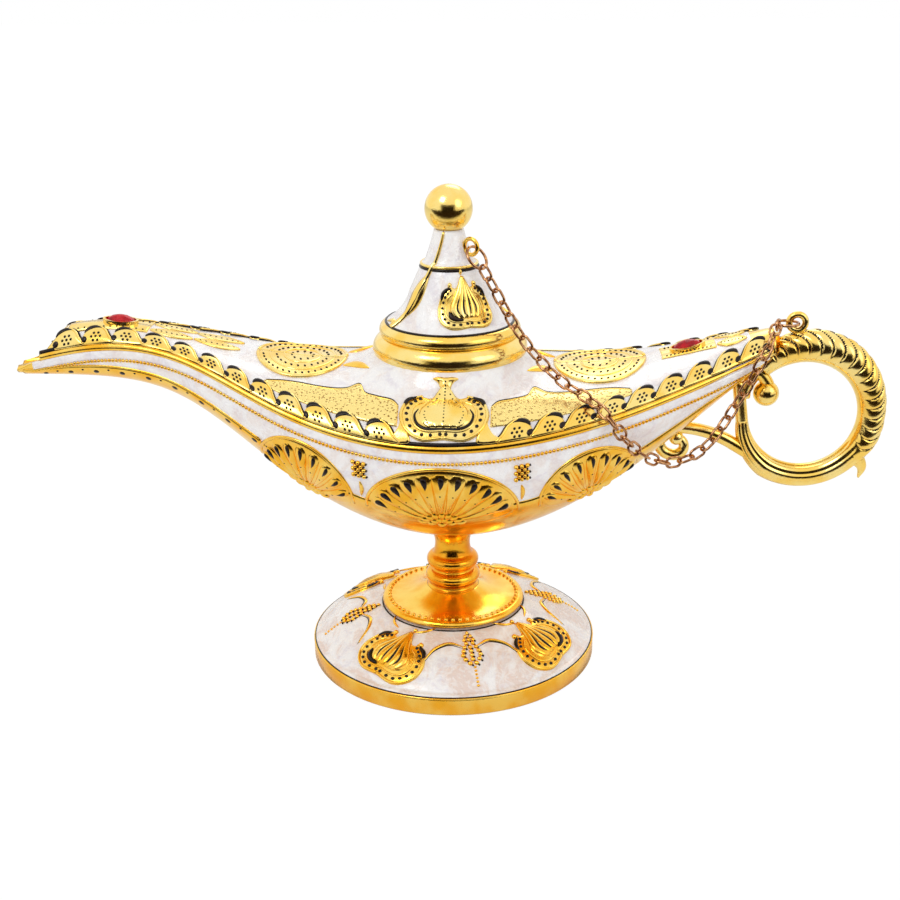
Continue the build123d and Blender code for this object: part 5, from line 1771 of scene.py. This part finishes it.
def packed_axes(node):
    """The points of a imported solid, the middle of its box, and its main axes from the longest down."""
    cloud = np.array([v.co[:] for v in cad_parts[node].data.vertices]) / MM
    middle = (cloud.min(axis=0) + cloud.max(axis=0)) / 2
    _, _, ways = np.linalg.svd(cloud - cloud.mean(axis=0), full_matrices=False)
    return cloud, middle, ways


for node, body in (("handle_ring", "lamp_body"), ("lid_ring", "lid_ring")):
    _, middle, ways = packed_axes(node)
    points, faces = ring_mesh(circle(middle, ways[2], RING_RADII[node]), RING_WIRE)
    dress(piece(node + "_wire", points, faces, [rose]), body, "chain_metal", node)

eye_way = np.array([cos(LID_EYE_TURN), sin(LID_EYE_TURN), 0])
lid_eye = LID_EYE_REACH * eye_way + (0, 0, SEAT + LID_EYE_RISE)
points, faces = ring_mesh(circle(lid_eye, (-eye_way[1], eye_way[0], 0), LID_EYE_RADIUS), LID_EYE_WIRE)
dress(piece("lid_eye_wire", points, faces, [amber]), "lid", "gold_plate", "lid_eye")
eye_foot = loop_point(EYE_TURN, FINGER_RADIUS + 2 * CROWN_RADIUS)
eye = (eye_foot[0], 0, eye_foot[1] + EYE_RADIUS)
points, faces = ring_mesh(circle(eye, (0, 1, 0), EYE_RADIUS), EYE_WIRE, 14)
dress(piece("handle_eye_ring", points, faces, [gold]), "lamp_body", "gold_plate", "handle_eye")
print("rings:", ", ".join(RING_RADII), "and two eyes")

# %% [markdown]
# ## Stones
# A stone is cut in flat facets that throw single bright flashes. A smooth dome would show one soft glow
# instead, so its mesh is rings of eight points that turn by half a step from ring to ring over the crown,
# and its faces stay flat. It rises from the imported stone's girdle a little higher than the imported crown.

# %% The two stones
FACETS = 8
STONE_HALF = (3.7, 2.3)
STONE_RINGS = ((1.0, -2.2, 0.0), (1.0, -0.9, 0.0), (0.86, 0.1, 0.5), (0.52, 0.8, 0.0), (0.2, 1.05, 0.5))


def cut_stone(node):
    """A faceted stone on the place of a packed one.

    Its rings are (share of the girdle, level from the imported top, turn in steps).
    """
    cloud, middle, ways = packed_axes(node)
    up = ways[2] * np.sign(ways[2][2])
    long_way = ways[0]
    across = np.cross(up, long_way)
    top = ((cloud - middle) @ up).max()
    points = []
    for share, level, turn in STONE_RINGS:
        for k in range(FACETS):
            angle = 2 * pi * (k + turn) / FACETS
            spot = long_way * STONE_HALF[0] * cos(angle) + across * STONE_HALF[1] * sin(angle)
            points.append(middle + spot * share + up * (top + level))
    faces = end_caps(len(STONE_RINGS), FACETS)
    for row in range(len(STONE_RINGS) - 1):
        a, b = row * FACETS, (row + 1) * FACETS
        step = 1 if STONE_RINGS[row][2] > STONE_RINGS[row + 1][2] else 0
        for k in range(FACETS):
            after = (k + 1) % FACETS
            low, high = (a + k, a + after), (b + (k + step) % FACETS, b + (after + step) % FACETS)
            faces += [(low[0], low[1], high[0]), (high[0], low[1], high[1])]
    made = piece(node + "_cut", points, faces, [red_glass], smooth=False)
    return dress(made, "lamp_body", "red_glass", node)


for node in ("spout_stone", "tail_stone"):
    made = cut_stone(node)
    print(made.name, len(made.data.polygons), "facets")

# %% [markdown]
# ## The solids that stay
# The bezels and the bolt set are right as they are packed. Making them again would only repeat them, so they
# keep their meshes and get a finish.

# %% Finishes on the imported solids
KEPT = {"spout_bezel": gold, "tail_bezel": gold, "stem_bolt": steel, "stem_washer": steel, "stem_nut": steel}
for node, finish in KEPT.items():
    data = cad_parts[node].data
    data.materials.clear()
    data.materials.append(finish)
print("packed solids with a finish:", ", ".join(KEPT))

# %% [markdown]
# ## World
# Polished metal is only as good as what it mirrors. A picture of a studio could light the scene, but a sky of
# nodes can be shaped to the lamp: white for the camera, soft and even for the light, and for mirrored rays
# white with one dark patch towards the viewer, where a photographer would stand.

# %% Sky
WHITE = (1, 1, 1, 1)
VIEWER_DARK = (0.012, 0.008, 0.006, 1)
STUDIO_LIGHT = 0.72
RAYS = ("Is Camera Ray", "Is Glossy Ray", "Is Transmission Ray")
world = bpy.data.worlds.new("studio")
bpy.context.scene.world = world
world.use_nodes = True
sky = Nodes(world.node_tree)
ray = sky.node("ShaderNodeTexCoord", output=0)
axes = {k: sky.node("ShaderNodeSeparateXYZ", None, {0: ray}, output=i) for i, k in enumerate("xyz")}
towards = (0 - axes["y"]).step(0.30, 0.62)
level = axes["z"].step(-0.45, -0.25) * (1 - axes["z"].step(0.32, 0.50))
sideways = (axes["x"] * axes["x"]).step(0.18, 0.42)
dark = towards * level * (1 - sideways)


def light_rays(nodes):
    """What a ray is for, as one wire for each kind."""
    path = nodes.node("ShaderNodeLightPath")
    return [Wire(nodes, path.socket.node.outputs[name]) for name in RAYS]


def background(colour, strength):
    return sky.node("ShaderNodeBackground", None, {"Color": colour, "Strength": strength})


camera_ray, mirror_ray, glass_ray = light_rays(sky)
studio = background(WHITE, STUDIO_LIGHT)
mirrored = background(sky.mix(dark, WHITE, VIEWER_DARK), 1.0)
lit = sky.node("ShaderNodeMixShader", None, {0: mirror_ray, 1: studio, 2: mirrored})
seen = {0: camera_ray + glass_ray, 1: lit, 2: background(WHITE, 1.0)}
sky.node("ShaderNodeOutputWorld", None, {"Surface": sky.node("ShaderNodeMixShader", None, seen)})
print("sky:", len(world.node_tree.nodes), "nodes")

# %% [markdown]
# ## Floor
# The lamp stands on pale paper that runs out to white. A curved backdrop would need a light of its own, so
# the floor glows for the camera alone and keeps a soft shadow. For mirrored rays it darkens in front of the
# lamp, which gives the gold its deep reflections.

# %% Floor
PAPER, PAPER_DARK = (0.93, 0.93, 0.93, 1), (0.02, 0.012, 0.008, 1)
FLOOR_GLOW, GLOW_SHARE = 1.04, 0.92
FLOOR_REACH, FLOOR_DROP = 3000.0, -0.02
floor_finish = bpy.data.materials.new("floor")
floor_finish.use_nodes = True
ground = Nodes(floor_finish.node_tree)
camera_ray, mirror_ray, _ = light_rays(ground)
front = ground.node("ShaderNodeSeparateXYZ", None, {0: ground.place()}, output=1)
paper = ground.mix(mirror_ray * (0 - front).step(0.09, 0.16), PAPER, PAPER_DARK)
matt = ground.node("ShaderNodeBsdfDiffuse", None, {"Color": paper})
glow = ground.node("ShaderNodeEmission", None, {"Color": WHITE, "Strength": FLOOR_GLOW})
surface = ground.node("ShaderNodeMixShader", None, {0: camera_ray * GLOW_SHARE, 1: matt, 2: glow})
ground.node("ShaderNodeOutputMaterial", None, {"Surface": surface})
corners = [(x * FLOOR_REACH, y * FLOOR_REACH, FLOOR_DROP) for x, y in ((-1, -1), (1, -1), (1, 1), (-1, 1))]
floor = piece("floor", corners, [(0, 1, 2, 3)], [floor_finish], tidy=False)
print("floor:", 2 * FLOOR_REACH * MM, "m wide")

# %% [markdown]
# ## Lamps
# The sky gives the even light. Three disc lamps add what it lacks: a key from the left that shapes the forms,
# a weak fill from the right and a rim of light from behind. Point lamps would leave hard dots in the gold.


# %% Three soft lamps
def soft_lamp(name, place, aim, size, watts):
    data = bpy.data.lights.new(name, "AREA")
    data.shape, data.size, data.energy = "DISK", size, watts
    made = bpy.data.objects.new(name, data)
    made.location = place
    made.rotation_euler = (Vector(aim) - Vector(place)).to_track_quat("-Z", "Y").to_euler()
    bpy.context.scene.collection.objects.link(made)


BELLY = (0, 0, 0.07)
soft_lamp("key", (-0.35, -0.45, 0.75), BELLY, 0.35, 1.6)
soft_lamp("fill", (0.55, -0.35, 0.45), BELLY, 0.40, 0.5)
soft_lamp("back", (0.10, 0.60, 0.60), BELLY, 0.40, 0.8)
print("lamps:", len(bpy.data.lights))

# %% [markdown]
# ## Camera
# The camera stands where the photograph was taken from: a little to the right, above the lamp and close to
# it. Its place, pitch, roll and view angle were fitted to the foot's ellipse and the lamp's outline, because
# a camera that is set by eye would make every comparison unsure.

# %% Camera and view
CAMERA_TURN, CAMERA_REACH, CAMERA_HEIGHT = 3.4, 0.3151, 0.1698
CAMERA_PITCH, CAMERA_ROLL, VIEW_ANGLE = 20.29, -0.67, 36.4
PHOTO_SIZE, PHOTO_SHIFT = 900, 1.4
lens = bpy.data.cameras.new("camera")
lens.sensor_width = 36.0
lens.angle = radians(VIEW_ANGLE)
lens.shift_x = -PHOTO_SHIFT / PHOTO_SIZE
lens.clip_start = 0.01
camera = bpy.data.objects.new("camera", lens)
turn = radians(CAMERA_TURN)
camera.location = (CAMERA_REACH * sin(turn), -CAMERA_REACH * cos(turn), CAMERA_HEIGHT)
aim = Matrix.Rotation(turn, 4, "Z") @ Matrix.Rotation(radians(90 - CAMERA_PITCH), 4, "X")
camera.rotation_euler = (aim @ Matrix.Rotation(radians(CAMERA_ROLL), 4, "Z")).to_euler()
bpy.context.scene.collection.objects.link(camera)
bpy.context.scene.camera = camera
bpy.context.scene.view_settings.view_transform = "Standard"
print("camera %.3f m from the axis" % CAMERA_REACH)
